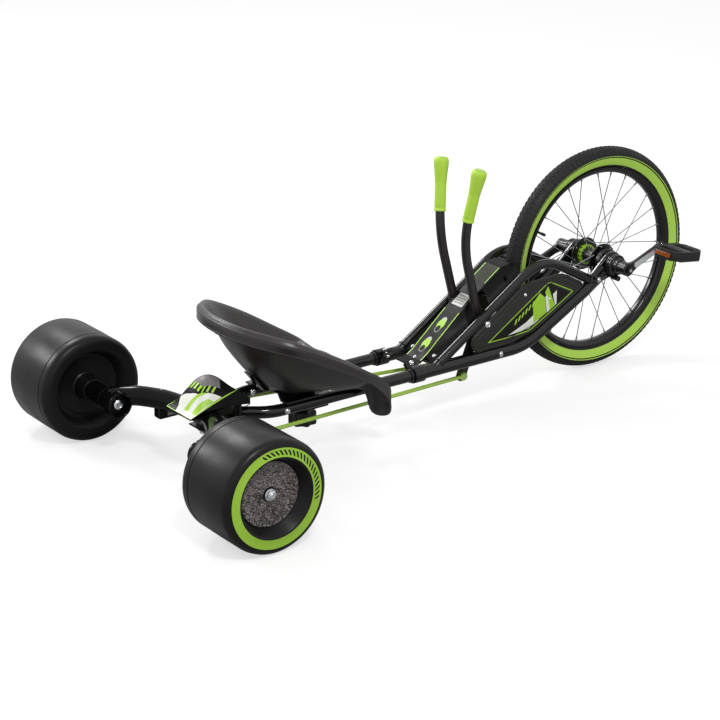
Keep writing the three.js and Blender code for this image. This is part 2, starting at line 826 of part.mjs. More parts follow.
function pivotCover() {
  const lipX = hoodSkirtX - hoodLip;
  const outside = sidePlate(
    [
      [hoodRearX, hoodRearZ - hoodLip],
      [hoodRearX, hoodRearZ],
      [hoodFrontX, hoodFrontZ],
      [hoodNoseX, hoodNoseZ],
      [hoodNoseX, hoodNoseLowZ],
      [hoodSkirtX, hoodSkirtZ],
      [lipX, hoodPlane(lipX) - hoodLip],
    ],
    -hoodHalfWidth,
    hoodHalfWidth,
  );
  const inside = sidePlate(
    [
      [hoodRearX + hoodWall, yokeLowZ],
      [hoodRearX + hoodWall, hoodPlane(hoodRearX + hoodWall) - hoodWall],
      [hoodFrontX, hoodFrontZ - hoodWall],
      [hoodNoseX - hoodWall, hoodNoseZ - hoodWall],
      [hoodNoseX - hoodWall, yokeLowZ],
    ],
    -hoodHalfWidth + hoodWall,
    hoodHalfWidth - hoodWall,
  );
  const below = block(
    point(domeX - domeHalfLength, -domeHalfWidth, yokeLowZ - domeTop),
    point(domeX + domeHalfLength, domeHalfWidth, hoodPlane(domeX) - hoodLip),
  );
  const shell = cut(joined(outside, cut(hoodDome(0), below)), inside, hoodDome(hoodWall));
  const posts = [1, -1].map((side) =>
    bar(point(hoodPostX, side * hoodPostY, yokeTop + gap),
      point(hoodPostX, side * hoodPostY, hoodPlane(hoodPostX) - hoodWall / 2), hoodPostRadius, loopSides),
  );
  return joined(shell, ...posts);
}
piece(trike, "pivot_cover", pivotCover(), "plastic");

// Bearing holders outside the flattened ends, with the bearings that carry the crank axle.
bothSides((name, side) => {
  const inner = dropoutInner + dropoutThickness + gap;
  const nubZ = frontRadius - holderNubDrop;
  const holder = joined(
    crossBar(wheelbase, frontRadius, inner, holderOuter, side, holderRadius, 16),
    crossBar(wheelbase, nubZ, inner, holderOuter - holderNubRadius, side, holderNubRadius, loopSides),
  );
  const bore = crossBar(wheelbase, frontRadius, inner - overrun, holderOuter + overrun, side,
    bearingRadius + gap, 16);
  piece(trike, "bearing_holder_" + name, cut(holder, bore), "hub");
  const bearingInner = inner + (holderOuter - inner - bearingWidth) / 2;
  const bearing = crossBar(wheelbase, frontRadius, bearingInner, bearingInner + bearingWidth, side,
    bearingRadius, 16);
  const bearingBore = crossBar(wheelbase, frontRadius, inner - overrun, holderOuter + overrun, side,
    crankAxleRadius + running, tubeSides);
  piece(trike, "hub_bearing_" + name, cut(bearing, bearingBore), "steel");
});

// Steering axle: bowed tube, open wheel stubs, kingpin sleeve and the two tie-rod brackets.
const rearHubY = overallWidth / 2 - rearWidth / 2;
const stubOuter = rearHubY - rearWidth / 2 - gap;
function axleTube() {
  const leftHalf = axlePathShares.map(([x, y, z]) => point(x * kingpinX, y * stubInner, z * rearRadius));
  const rightHalf = leftHalf.map((p) => point(p.x, -p.y, p.z));
  const path = new THREE.CatmullRomCurve3([...leftHalf.reverse(), ...rightHalf.slice(1)]);
  const bow = tube(path, axleRadius, axleSides, 20);
  const sleeve = bar(
    point(kingpinX, 0, yokeLowZ + yokePlate + 2 * gap + bushFlange),
    point(kingpinX, 0, yokeHighZ - 2 * gap - bushFlange),
    sleeveRadius,
    20,
  );
  const stubs = [1, -1].map((side) =>
    crossBar(0, rearRadius, stubInner, stubOuter, side, axleRadius, axleSides),
  );
  const bracketBottom = bracketTop - bracketThickness;
  const brackets = [1, -1].flatMap((side) => {
    const ys = [side * rodEndY - bracketWidth / 2, side * rodEndY + bracketWidth / 2];
    const back = rodEndX - bracketReach - 2 * bracketWebLength;
    return [
      block(point(back, ys[0], bracketBottom), point(rodEndX + bracketReach, ys[1], bracketTop)),
      block(point(back, ys[0], bracketBottom),
        point(back + bracketWebLength, ys[1], bracketTop + axleRadius)),
    ];
  });
  const bores = [1, -1].flatMap((side) => [
    crossBar(0, rearRadius, stubInner - 2 * axleRadius, stubInner + stubBore, side, axleRadius - stubWall,
      axleSides),
    crossBar(0, rearRadius, stubInner, stubOuter + overrun, side, wheelBoltRadius + gap, axleSides),
    bar(point(rodEndX, side * rodEndY, bracketBottom - overrun),
      point(rodEndX, side * rodEndY, bracketTop + overrun), rodBoltRadius + gap, loopSides),
  ]);
  return cut(joined(bow, sleeve, ...stubs, ...brackets), ...bores, bar(
    point(kingpinX, 0, yokeLowZ),
    point(kingpinX, 0, yokeTop),
    bushSpigot + running,
    tubeSides,
  ));
}
piece(trike, "axle_tube", axleTube(), "frame");

// Flanged bush for the kingpin, flange at zero and spigot upwards.
const bushProfile = [
  [kingpinRadius + gap, 0],
  [bushRadius, 0],
  [bushRadius, bushFlange],
  [bushSpigot, bushFlange],
  [bushSpigot, bushLength],
  [kingpinRadius + gap, bushLength],
];
const lowerBush = piece(trike, "kingpin_bush_lower", ring(bushProfile, tubeSides), "plastic");
lowerBush.position.set(kingpinX, 0, yokeLowZ + yokePlate + gap);
lowerBush.rotation.x = Math.PI / 2;
const upperBush = piece(trike, "kingpin_bush_upper", ring(bushProfile, tubeSides), "plastic");
upperBush.position.set(kingpinX, 0, yokeHighZ - gap);
upperBush.rotation.x = -Math.PI / 2;

// Rear wheels: hollow-looking moulded slicks, dished on both faces, outer face towards +Y of their group.
const half = rearWidth / 2;
const wheelBore = wheelBoltRadius + running;
const dishFloor = half - dishDepth;
const shoulderIn = rearShoulder * 0.3;
const wheelProfile = [
  [wheelBore, -half],
  [wheelHubRadius, -half],
  [wheelHubRadius + shoulderIn, -half + innerDishDepth],
  [innerDishRim - rearShoulder, -half + innerDishDepth],
  [innerDishRim, -half],
  [rearRadius - rearShoulder, -half],
  [rearRadius - shoulderIn, -half + shoulderIn],
  [rearRadius, -half + rearShoulder],
  [rearRadius, half - rearShoulder],
  [rearRadius - shoulderIn, half - shoulderIn],
  [rearRadius - rearShoulder, half],
  [dishRim, half],
  [discRadius + 2 * gap, dishFloor],
  [wheelBore, dishFloor],
];
const discProfile = [
  [discHole, dishFloor + gap],
  [discRadius, dishFloor + gap],
  [discRadius, dishFloor + gap + discThickness],
  [discHole, dishFloor + gap + discThickness],
];
bothSides((name, side) => {
  const wheel = groupAt(trike, 0, side * rearHubY, rearRadius);
  wheel.rotation.z = side > 0 ? 0 : Math.PI;
  piece(wheel, "rear_wheel_" + name, ring(onFlats(wheelProfile, rearSides), rearSides), "slick");
  piece(wheel, "wheel_disc_" + name, ring(discProfile, 24), "disc");
  const headIn = stubInner + stubBore - gap - wheelBoltHeadHeight - rearHubY;
  const nutLow = dishFloor + gap;
  const tip = nutLow + wheelNutHeight + wheelBoltTip;
  const bolt = joined(
    bar(point(0, headIn, 0), point(0, tip, 0), wheelBoltRadius, tubeSides),
    bar(point(0, headIn, 0), point(0, headIn + wheelBoltHeadHeight, 0), wheelBoltHead, 6),
    bar(point(0, nutLow, 0), point(0, nutLow + wheelNutHeight, 0), wheelNutRadius, 6),
  );
  piece(wheel, "wheel_bolt_" + name, bolt, "steel");
});

// Front wheel, turned about its own axis.
const frontWheel = groupAt(trike, wheelbase, 0, frontRadius);
const crownRadius = frontRadius - tyreRadius;
const tyreSeat = frontRadius - tyreDepth;
const sectionStep = Math.PI / 12;
const tyreSection = [-9, -7, -5, -3, -1, 1, 3, 5, 7, 9].map((step) => {
  const angle = step * sectionStep;
  const reach = tyreRadius / Math.cos(sectionStep);
  return [Math.max(crownRadius + reach * Math.cos(angle), tyreSeat), reach * Math.sin(angle)];
});
piece(frontWheel, "front_tyre", ring(onFlats(tyreSection, frontSides), frontSides), "tyre");

const rimOuter = tyreSeat - gap;
const rimInner = rimOuter - rimDepth;
const rimHalf = rimWidth / 2;
const rimSection = [
  [rimInner, -rimWell / 2],
  [rimInner + rimDepth * 0.4, -rimHalf * 0.8],
  [rimOuter - rimDepth * 0.2, -rimHalf],
  [rimOuter, -rimHalf],
  [rimOuter, rimHalf],
  [rimOuter - rimDepth * 0.2, rimHalf],
  [rimInner + rimDepth * 0.4, rimHalf * 0.8],
  [rimInner, rimWell / 2],
];
piece(frontWheel, "front_rim", ring(onFlats(rimSection, frontSides), frontSides), "rim");

// One side's spokes, laced in leading and trailing pairs and carried by the hub flange.
function spokes(side, flangeY) {
  const inner = flangeRadius - 2 * flangeThickness;
  const outer = rimInner - gap;
  const bars = Array.from({ length: spokesPerSide }, (_, i) => {
    const away = (2 * Math.PI * (i + (side > 0 ? 0 : 1 / 2))) / spokesPerSide;
    const lean = i % 2 ? spokeLean : -spokeLean;
    const start = away - lean;
    const out = flangeY + side * (i % 2 ? 1 : -1) * (flangeThickness / 4);
    return bar(
      point(inner * Math.cos(start), out, inner * Math.sin(start)),
      point(outer * Math.cos(away), side * rimWell / 4, outer * Math.sin(away)),
      spokeRadius,
      3,
    );
  });
  const flange = bar(point(0, flangeY - flangeThickness / 2, 0), point(0, flangeY + flangeThickness / 2, 0),
    flangeRadius, 20);
  const bore = bar(point(0, flangeY - overrun, 0), point(0, flangeY + overrun, 0), crankAxleRadius + running,
    tubeSides);
  return cut(joined(flange, ...bars), bore);
}
piece(frontWheel, "spokes_left", spokes(1, flangeLeft), "spoke");
piece(frontWheel, "spokes_right", spokes(-1, -flangeRight), "spoke");

const hubLow = -flangeRight + flangeThickness / 2 + gap;
const hubHigh = flangeLeft - flangeThickness / 2 - gap;
piece(
  frontWheel,
  "hub_shell",
  ring(
    [
      [crankAxleRadius + running, hubLow],
      [hubRadius, hubLow],
      [hubRadius, hubHigh],
      [crankAxleRadius + running, hubHigh],
    ],
    20,
  ),
  "hub",
);

const freewheelTop = -flangeRight - flangeThickness / 2 - gap;
const freewheelLow = -dropoutInner + 2 * running;
const toothed = Array.from({ length: 2 * freewheelTeeth }, (_, i) => {
  const angle = (Math.PI * i) / freewheelTeeth;
  const radius = i % 2 ? freewheelRadius : freewheelRadius - flangeThickness / 2;
  return [radius * Math.cos(angle), radius * Math.sin(angle)];
});
piece(
  frontWheel,
  "freewheel",
  cut(
    joined(
      sidePlate(toothed, freewheelLow, freewheelLow + freewheelWidth),
      bar(point(0, freewheelLow, 0), point(0, freewheelTop, 0), freewheelNeck, 24),
    ),
    bar(point(0, freewheelLow - overrun, 0), point(0, freewheelTop + overrun, 0), crankAxleRadius + running,
      tubeSides),
  ),
  "hub",
);

// Crank set: the axle through the hub, an arm on each end half a turn apart, and the pedals.
const crankOuter = crankInner + crankThickness;
const crankFace = crankOuter + gap;
const crankset = groupAt(trike, wheelbase, 0, frontRadius);
const axleEnd = crankFace + crankNutHeight;
piece(
  crankset,
  "crank_axle",
  joined(
    bar(point(0, -axleEnd, 0), point(0, axleEnd, 0), crankAxleRadius, tubeSides),
    bar(point(0, crankFace, 0), point(0, axleEnd, 0), crankNutRadius + gap, 6),
    bar(point(0, -axleEnd, 0), point(0, -crankFace, 0), crankNutRadius + gap, 6),
    bar(point(0, flangeLeft + flangeThickness / 2 + gap, 0), point(0, dropoutInner - gap, 0),
      axleCollarRadius, 20),
  ),
  "steel",
);

bothSides((name, side) => {
  const armAngle = side > 0 ? crankRise + Math.PI : crankRise;
  const endX = crankLength * Math.cos(armAngle);
  const endZ = crankLength * Math.sin(armAngle);
  const halfWidth = crankWidth / 2;
  const acrossX = -Math.sin(armAngle) * halfWidth;
  const acrossZ = Math.cos(armAngle) * halfWidth;
  const outline = [
    [acrossX, acrossZ],
    [endX + acrossX, endZ + acrossZ],
    [endX - acrossX, endZ - acrossZ],
    [-acrossX, -acrossZ],
  ];
  const faces = [side * crankInner, side * crankOuter].sort((a, b) => a - b);
  const arm = cut(
    joined(
      sidePlate(outline, ...faces),
      crossBar(0, 0, crankBossInner, crankOuter, side, crankBossRadius, 16),
      crossBar(endX, endZ, crankInner, crankOuter, side, crankEndRadius, 14),
    ),
    crossBar(0, 0, crankBossInner - overrun, crankOuter + overrun, side, crankAxleRadius + gap, tubeSides),
    crossBar(endX, endZ, crankInner - overrun, crankOuter + overrun, side, spindleRadius + gap, tubeSides),
  );
  piece(crankset, "crank_arm_" + name, arm, "alloy");
  const pedalInner = pedalY - pedalWidth / 2;
  const pedalOuter = pedalY + pedalWidth / 2;
  const spindle = joined(
    crossBar(endX, endZ, crankInner - gap, pedalOuter - running, side, spindleRadius, tubeSides),
    crossBar(endX, endZ, crankFace, pedalInner - gap, side, spindleCollar, tubeSides),
  );
  piece(crankset, "pedal_spindle_" + name, spindle, "steel");

  const pedal = groupAt(crankset, endX, side * pedalY, endZ);
  pedal.rotation.y = pedalTilt;
  const l = pedalLength / 2;
  const w = pedalWidth / 2;
  const h = pedalHeight / 2;
  const corners = [
    [-l, -w + pedalCorner], [-l + pedalCorner, -w], [l - pedalCorner, -w], [l, -w + pedalCorner],
    [l, w - pedalCorner], [l - pedalCorner, w], [-l + pedalCorner, w], [-l, w - pedalCorner],
  ];
  const windows = [1, -1].map((end) => {
    const spanX = [end * pedalBarrel, end * (pedalBarrel + pedalWindowLength)].sort((a, b) => a - b);
    return block(
      point(spanX[0], -pedalWindowWidth / 2, -h - overrun),
      point(spanX[1], pedalWindowWidth / 2, h + overrun),
    );
  });
  const hole = bar(point(0, -w - overrun, 0), point(0, w + overrun, 0), spindleRadius + running, tubeSides);
  piece(pedal, "pedal_" + name, cut(levelPlate(corners, -h, h), ...windows, hole), "plastic");
  [["rear", -1], ["front", 1]].forEach(([where, end]) => {
    const spanX = [end * (l + gap), end * (l + gap + reflectorThickness)].sort((a, b) => a - b);
    const plate = block(
      point(spanX[0], -reflectorWidth / 2, -reflectorHeight / 2),
      point(spanX[1], reflectorWidth / 2, reflectorHeight / 2),
    );
    piece(pedal, "reflector_" + where + "_" + name, plate, "reflector");
  });
});

// Steering levers, in a group at each pivot, with their grips and tie rods.
bothSides((name, side) => {
  const lever = groupAt(trike, pivotX, 0, pivotZ);
  const corners = leverPathShares.map(([x, y, z]) =>
    point(x * leverSetback, side * (leverY + y * leverSpread), z * leverRise),
  );
  const bends = corners.slice(1, -1).map(() => leverBend);
  const stem = tube(bentPath(corners, bends), leverRadius, loopSides, 14);
  const armFaces = [leverY - armThickness / 2, leverY + armThickness / 2];
  const faces = armFaces.map((y) => side * y).sort((a, b) => a - b);
  const armLength = Math.hypot(rodEyeBack, rodEyeDrop);
  const acrossX = (rodEyeDrop / armLength) * (armWidth / 2);
  const acrossZ = (-rodEyeBack / armLength) * (armWidth / 2);
  const top = corners[1];
  const outline = [
    [-rodEyeBack - acrossX, -rodEyeDrop - acrossZ],
    [-rodEyeBack + acrossX, -rodEyeDrop + acrossZ],
    [acrossX, acrossZ],
    [top.x + armWidth / 2, top.z],
    [top.x - armWidth / 2, top.z],
    [-acrossX, -acrossZ],
  ];
  const body = cut(
    joined(
      stem,
      sidePlate(outline, ...faces),
      crossBar(-rodEyeBack, -rodEyeDrop, armFaces[0], armFaces[1], side, armWidth / 2, 14),
    ),
    crossBar(0, 0, armFaces[0] - overrun, armFaces[1] + overrun, side, pivotBoltRadius + gap, loopSides),
    crossBar(-rodEyeBack, -rodEyeDrop, armFaces[0] - overrun, armFaces[1] + overrun, side,
      rodBoltRadius + gap, loopSides),
  );
  piece(lever, "lever_" + name, body, "frame");

  const gripTop = corners[corners.length - 1];
  const gripAlong = gripTop.clone().sub(corners[corners.length - 2]).normalize();
  const bore = leverRadius + gap;
  const boreDepth = gripLength - 2 * gripWall - gripWall;
  const gripProfile = [
    [0, boreDepth + gap],
    [bore, boreDepth + gap],
    [bore, 0],
    [gripRim, 0],
    [gripRim, gripLength * 0.03],
    [gripRadius, gripLength * 0.06],
    [gripRadius, gripLength * 0.45],
    [gripTopRadius * 0.9, gripLength * 0.72],
    [gripTopRadius, gripLength * 0.86],
    [gripTopRadius * 0.94, gripLength * 0.94],
    [gripTopRadius * 0.7, gripLength * 0.985],
    [0, gripLength],
  ];
  const grip = piece(lever, "grip_" + name, turned(gripProfile, 14), "grip");
  grip.quaternion.setFromUnitVectors(yAxis, gripAlong);
  grip.position.copy(gripTop.clone().addScaledVector(gripAlong, -boreDepth));

  // The rod's front eye turns on its bolt outside the lever's arm; the rear eye lies on the axle's bracket.
  const eyeInner = armFaces[1] + gap;
  const eyeOuter = eyeInner + 2 * rodRadius;
  const eyeX = pivotX - rodEyeBack;
  const eyeZ = pivotZ - rodEyeDrop;
  const endLow = bracketTop + gap;
  const endHigh = endLow + rodEndThickness;
  const frontY = side * (eyeInner + rodRadius);
  const rear = point(rodEndX, side * rodEndY, (endLow + endHigh) / 2);
  const boltIn = armFaces[0] - gap - rodBoltHeadHeight;
  const link = joined(
    bar(rear, point(eyeX, frontY, eyeZ), rodRadius, 10),
    crossBar(eyeX, eyeZ, eyeInner, eyeOuter, side, rodEyeRadius, tubeSides),
    crossBar(eyeX, eyeZ, boltIn, eyeOuter, side, rodBoltRadius, loopSides),
    crossBar(eyeX, eyeZ, boltIn, armFaces[0] - gap, side, rodBoltHead, 6),
    bar(point(rodEndX, rear.y, endLow), point(rodEndX, rear.y, endHigh), rodEyeRadius, tubeSides),
    bar(point(rodEndX, rear.y, endLow), point(rodEndX, rear.y, endHigh + rodBoltHeadHeight), rodBoltHead, 6),
  );
  piece(trike, "tie_rod_" + name, link, "rod");
});

// Bucket seat. Each row is a closed line round the bucket, from the back centre round the left side to the
// front centre, as shares of the seat's length from the back, its half width and its rise above the floor.
const seatRowShares = [
  [[0.32, 0, 0], [0.33, 0.15, 0], [0.36, 0.28, 0], [0.41, 0.37, 0], [0.48, 0.42, 0], [0.56, 0.47, 0],
    [0.62, 0.47, 0], [0.65, 0.43, 0], [0.64, 0.34, 0], [0.61, 0.24, 0], [0.59, 0.13, 0], [0.58, 0, 0]],
  [[0.16, 0, 0.5], [0.17, 0.25, 0.5], [0.24, 0.5, 0.45], [0.36, 0.64, 0.33], [0.5, 0.69, 0.19],
    [0.64, 0.7, 0.08], [0.76, 0.69, 0.04], [0.82, 0.63, 0.05], [0.79, 0.52, 0.11], [0.7, 0.4, 0.22],
    [0.65, 0.22, 0.28], [0.63, 0, 0.27]],
  [[0.05, 0, 1], [0.075, 0.36, 0.99], [0.15, 0.65, 0.95], [0.28, 0.86, 0.85], [0.5, 0.9, 0.6],
    [0.71, 0.87, 0.32], [0.87, 0.8, 0.1], [0.93, 0.69, -0.02], [0.88, 0.52, 0.02], [0.74, 0.42, 0.22],
    [0.69, 0.25, 0.34], [0.67, 0, 0.34]],
  [[0.01, 0, 0.98], [0.035, 0.4, 0.97], [0.115, 0.72, 0.93], [0.26, 0.95, 0.83], [0.5, 1, 0.57],
    [0.72, 0.96, 0.28], [0.9, 0.84, 0.02], [0.985, 0.7, -0.25], [0.93, 0.52, -0.22], [0.78, 0.42, 0.16],
    [0.71, 0.26, 0.31], [0.7, 0, 0.3]],
  [[0, 0, 0.86], [0.03, 0.41, 0.85], [0.11, 0.72, 0.81], [0.26, 0.95, 0.71], [0.5, 0.99, 0.46],
    [0.72, 0.95, 0.2], [0.91, 0.83, -0.06], [1, 0.69, -0.47], [0.95, 0.52, -0.45], [0.79, 0.42, 0.1],
    [0.72, 0.26, 0.25], [0.71, 0, 0.24]],
];

// Points round one row, both sides, with the left side's points mirrored for the right.
function seatRow(shares) {
  const left = shares.map(([x, y, z]) =>
    point(seatBackX + x * seatLength, y * seatHalfWidth, seatFloorZ + z * seatRise),
  );
  const right = left.slice(1, -1).reverse().map((p) => point(p.x, -p.y, p.z));
  const curve = new THREE.CatmullRomCurve3([...left, ...right], true);
  return Array.from({ length: seatRound }, (_, i) => curve.getPoint(i / seatRound));
}

function seatGeometry() {
  const rows = seatRowShares.map(seatRow);
  const top = Array.from({ length: seatSteps + 1 }, (_, s) =>
    rows[0].map((_, i) => new THREE.CatmullRomCurve3(rows.map((row) => row[i])).getPoint(s / seatSteps)),
  );
  const normalAt = (r, i) => {
    if (r === 0) return zAxis.clone();
    const around = top[r][(i + 1) % seatRound].clone().sub(top[r][(i + seatRound - 1) % seatRound]);
    const outward = top[Math.min(r + 1, seatSteps)][i].clone().sub(top[r - 1][i]);
    return around.cross(outward).normalize();
  };
  const under = top.map((row, r) => row.map((p, i) => p.clone().addScaledVector(normalAt(r, i), -seatShell)));
  const middleX = seatBackX + (seatRowShares[0][0][0] + seatRowShares[0][11][0]) * seatLength / 2;
  return loft(
    [...top, ...under.reverse()],
    point(middleX, 0, seatFloorZ),
    point(middleX, 0, seatFloorZ - seatShell),
  );
}

const seatGroup = groupAt(trike, 0, 0, 0);
piece(seatGroup, "seat", seatGeometry(), "seat");

// Hat-shaped bracket that straddles the rails, with a strap up the back of the bucket.
const bracketHigh = seatFloorZ - seatShell - gap;
const bracketLow = frameZ + railRadius + gap;
const footInner = frameY - seatBracketFoot;
const footOuter = frameY + seatBracketFoot;
const hat = [
  [-footOuter, bracketLow],
  [-footInner, bracketLow],
  [-seatBracketTop + seatBracketPlate, bracketHigh - seatBracketPlate],
  [seatBracketTop - seatBracketPlate, bracketHigh - seatBracketPlate],
  [footInner, bracketLow],
  [footOuter, bracketLow],
  [footOuter, bracketLow + seatBracketPlate],
  [footInner + seatBracketPlate, bracketLow + seatBracketPlate],
  [seatBracketTop, bracketHigh],
  [-seatBracketTop, bracketHigh],
  [-footInner - seatBracketPlate, bracketLow + seatBracketPlate],
  [-footOuter, bracketLow + seatBracketPlate],
];
const strapOutline = [
  [seatBracketX + seatBracketSlope, bracketHigh],
  [seatBracketX + seatBracketSlope, bracketHigh - seatBracketPlate],
  [seatBracketX - 2 * seatBracketSlope, bracketHigh - seatBracketPlate],
  [strapX, strapZ],
  [strapX + seatBracketPlate, strapZ],
  [seatBracketX - seatBracketSlope, bracketHigh],
];
const studTop = bracketHigh - seatBracketPlate / 2;
const studNutLow = bracketHigh - seatBracketPlate - studNutHeight;
const studHole = bar(
  point(knobX, 0, knobLow),
  point(knobX, 0, bracketHigh + overrun),
  studRadius + gap,
  tubeSides,
);
piece(
  seatGroup,
  "seat_bracket",
  cut(
    joined(
      crossPlate(hat, seatBracketX, seatBracketX + seatBracketLength),
      sidePlate(strapOutline, -strapHalfWidth, strapHalfWidth),
      bar(point(knobX, 0, studNutLow), point(knobX, 0, bracketHigh - seatBracketPlate / 2), studNutRadius, 6),
    ),
    studHole,
  ),
  "frame",
);

const clampTop = frameZ - railRadius - gap;
const clampLow = clampTop - clampPlateThickness;
piece(
  seatGroup,
  "seat_clamp_plate",
  cut(
    block(
      point(knobX - clampPlateLength / 2, -clampPlateHalf, clampLow),
      point(knobX + clampPlateLength / 2, clampPlateHalf, clampTop),
    ),
    studHole,
  ),
  "frame",
);

// Lobed knob with its moulded-in stud.
const knobSteps = 4 * knobLobes;
const knobOutline = Array.from({ length: knobSteps }, (_, i) => {
  const angle = (2 * Math.PI * i) / knobSteps;
  const radius = (knobRadius + knobWaist + (knobRadius - knobWaist) * Math.cos(angle * knobLobes)) / 2;
  return [knobX + radius * Math.cos(angle), radius * Math.sin(angle)];
});
const knobHigh = knobLow + knobHeight;
piece(
  seatGroup,
  "seat_knob",
  joined(
    levelPlate(knobOutline, knobLow, knobHigh),
    bar(point(knobX, 0, knobHigh - overrun), point(knobX, 0, clampLow - gap), knobBoss, 20),
    bar(point(knobX, 0, knobHigh - overrun), point(knobX, 0, studTop), studRadius, tubeSides),
  ),
  "plastic",
);

export default root;
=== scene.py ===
# Lever-steered drift trike: the looks of its tubes, covers, bucket seat, slick rear wheels,
# spoked front wheel, cranks, levers and tie rods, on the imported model's own frame.
# Sizes are millimetres. X runs forward from the rear axle, Y to the rider's left, Z up.
import math

import bmesh
import bpy
from mathutils import Matrix, Vector


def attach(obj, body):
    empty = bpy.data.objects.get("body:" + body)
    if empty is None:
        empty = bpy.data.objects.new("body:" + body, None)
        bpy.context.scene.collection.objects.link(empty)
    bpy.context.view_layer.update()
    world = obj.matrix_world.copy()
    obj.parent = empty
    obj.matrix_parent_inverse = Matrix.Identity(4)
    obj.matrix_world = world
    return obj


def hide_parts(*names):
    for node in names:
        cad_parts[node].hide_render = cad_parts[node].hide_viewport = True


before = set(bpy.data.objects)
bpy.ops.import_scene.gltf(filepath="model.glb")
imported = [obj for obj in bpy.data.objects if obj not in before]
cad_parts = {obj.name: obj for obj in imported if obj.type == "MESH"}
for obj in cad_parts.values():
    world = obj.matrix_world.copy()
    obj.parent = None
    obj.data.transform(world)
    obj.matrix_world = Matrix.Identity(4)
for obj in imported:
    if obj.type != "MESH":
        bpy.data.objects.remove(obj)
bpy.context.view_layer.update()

MM = 0.001
REAR_AXLE_X = -639.6  # the rear axle, from the middle of the trike's length
TO_FRAME = Matrix.Diagonal((MM, MM, MM, 1)) @ Matrix.Translation((REAR_AXLE_X, 0, 0))

# Sizes shared by several pieces
WHEELBASE = 1139.4
FRONT_RADIUS = 254
REAR_RADIUS = 114.15
REAR_WIDTH = 158.4
REAR_HUB_Y = 339.7
FRAME_Y = 64
FRAME_Z = 116.5
HUB = Vector((WHEELBASE, 0, FRONT_RADIUS))
SIDES = (("left", 1), ("right", -1))
BOLT_HOLE = 4.3
ROD_FRONT_X, ROD_FRONT_Z = 732, 75
KINGPIN_X = 105
BRACKET_X, BRACKET_Y = 110, 105
SEAT_REAR, SEAT_LENGTH, SEAT_HALF, SEAT_FLOOR, SEAT_RISE, SEAT_WALL = 139, 343, 184, 152, 157, 5
KNOB_X = 345
SHARP_ANGLE = 38  # degrees at which an edge stays sharp


# Colours and nodes

def paint(code):
    """An sRGB hex colour as linear red, green, blue and alpha."""
    parts = [int(code[i:i + 2], 16) / 255 for i in (1, 3, 5)]
    return tuple(c / 12.92 if c <= 0.04045 else ((c + 0.055) / 1.055) ** 2.4 for c in parts) + (1,)


def add(tree, kind, settings=None, feeds=None):
    """A node with its settings, and its inputs fed by values, nodes or sockets."""
    node = tree.nodes.new(kind)
    for name, value in (settings or {}).items():
        setattr(node, name, value)
    for name, value in (feeds or {}).items():
        if isinstance(value, bpy.types.Node):
            value = value.outputs[0]
        if isinstance(value, bpy.types.NodeSocket):
            tree.links.new(value, node.inputs[name])
        else:
            node.inputs[name].default_value = value
    return node


def maths(tree, operation, *values):
    return add(tree, "ShaderNodeMath", {"operation": operation}, dict(enumerate(values)))


def vectors(tree, operation, *values, **named):
    return add(tree, "ShaderNodeVectorMath", {"operation": operation}, dict(enumerate(values), **named))


def xyz(tree, *values):
    return add(tree, "ShaderNodeCombineXYZ", None, dict(enumerate(values)))


def blended(tree, share, dark, light):
    """Between two colours by a share; each is a hex code or a socket."""
    dark, light = (paint(colour) if isinstance(colour, str) else colour for colour in (dark, light))
    return add(tree, "ShaderNodeMix", {"data_type": "RGBA"}, {0: share, 6: dark, 7: light}).outputs[2]


def embossed(tree, height, strength, depth_mm):
    feeds = {"Height": height, "Strength": strength, "Distance": depth_mm * MM}
    return add(tree, "ShaderNodeBump", None, feeds).outputs[0]


def new_finish(name, **constants):
    """A material with a Principled surface whose constant values are set on its own sockets."""
    material = bpy.data.materials.new(name)
    material.use_nodes = True
    tree = material.node_tree
    tree.nodes.clear()
    surface = add(tree, "ShaderNodeBsdfPrincipled")
    for key, value in constants.items():
        surface.inputs[key.replace("_", " ")].default_value = value
    add(tree, "ShaderNodeOutputMaterial", None, {"Surface": surface})
    place = add(tree, "ShaderNodeTexCoord").outputs["Object"]
    return material, tree, surface, place


def noise(tree, place, patch_mm, detail):
    feeds = {"Vector": place, "Scale": 1 / (patch_mm * MM), "Detail": detail}
    return add(tree, "ShaderNodeTexNoise", None, feeds)


def mottled(tree, place, dark, light, patch_mm):
    """Two close colours in soft patches of the stated size."""
    return blended(tree, noise(tree, place, patch_mm, 4.0), dark, light)


def uneven(tree, place, low, high, patch_mm):
    """A roughness that wanders between two values, as handling and dust leave it."""
    feeds = {"Value": noise(tree, place, patch_mm, 3.0), "From Min": 0.3, "From Max": 0.7,
             "To Min": low, "To Max": high}
    return add(tree, "ShaderNodeMapRange", None, feeds).outputs[0]


def dress(tree, surface, colour, rough, normal):
    """Feeds a surface its colour, roughness and bump."""
    for name, socket in (("Base Color", colour), ("Roughness", rough), ("Normal", normal)):
        if socket:
            tree.links.new(socket, surface.inputs[name])


def simple_finish(name, dark, light, rough, grain, patch_mm=40, **constants):
    """A mottled colour, a wandering roughness and a grain of the stated size, depth and strength."""
    material, tree, surface, place = new_finish(name, **constants)
    grain_mm, depth_mm, strength = grain
    specks = add(tree, "ShaderNodeTexNoise", None, {"Vector": place, "Scale": 1 / (grain_mm * MM)})
    dress(tree, surface, mottled(tree, place, dark, light, patch_mm),
          uneven(tree, place, *rough, patch_mm / 2), embossed(tree, specks, strength, depth_mm))
    return material


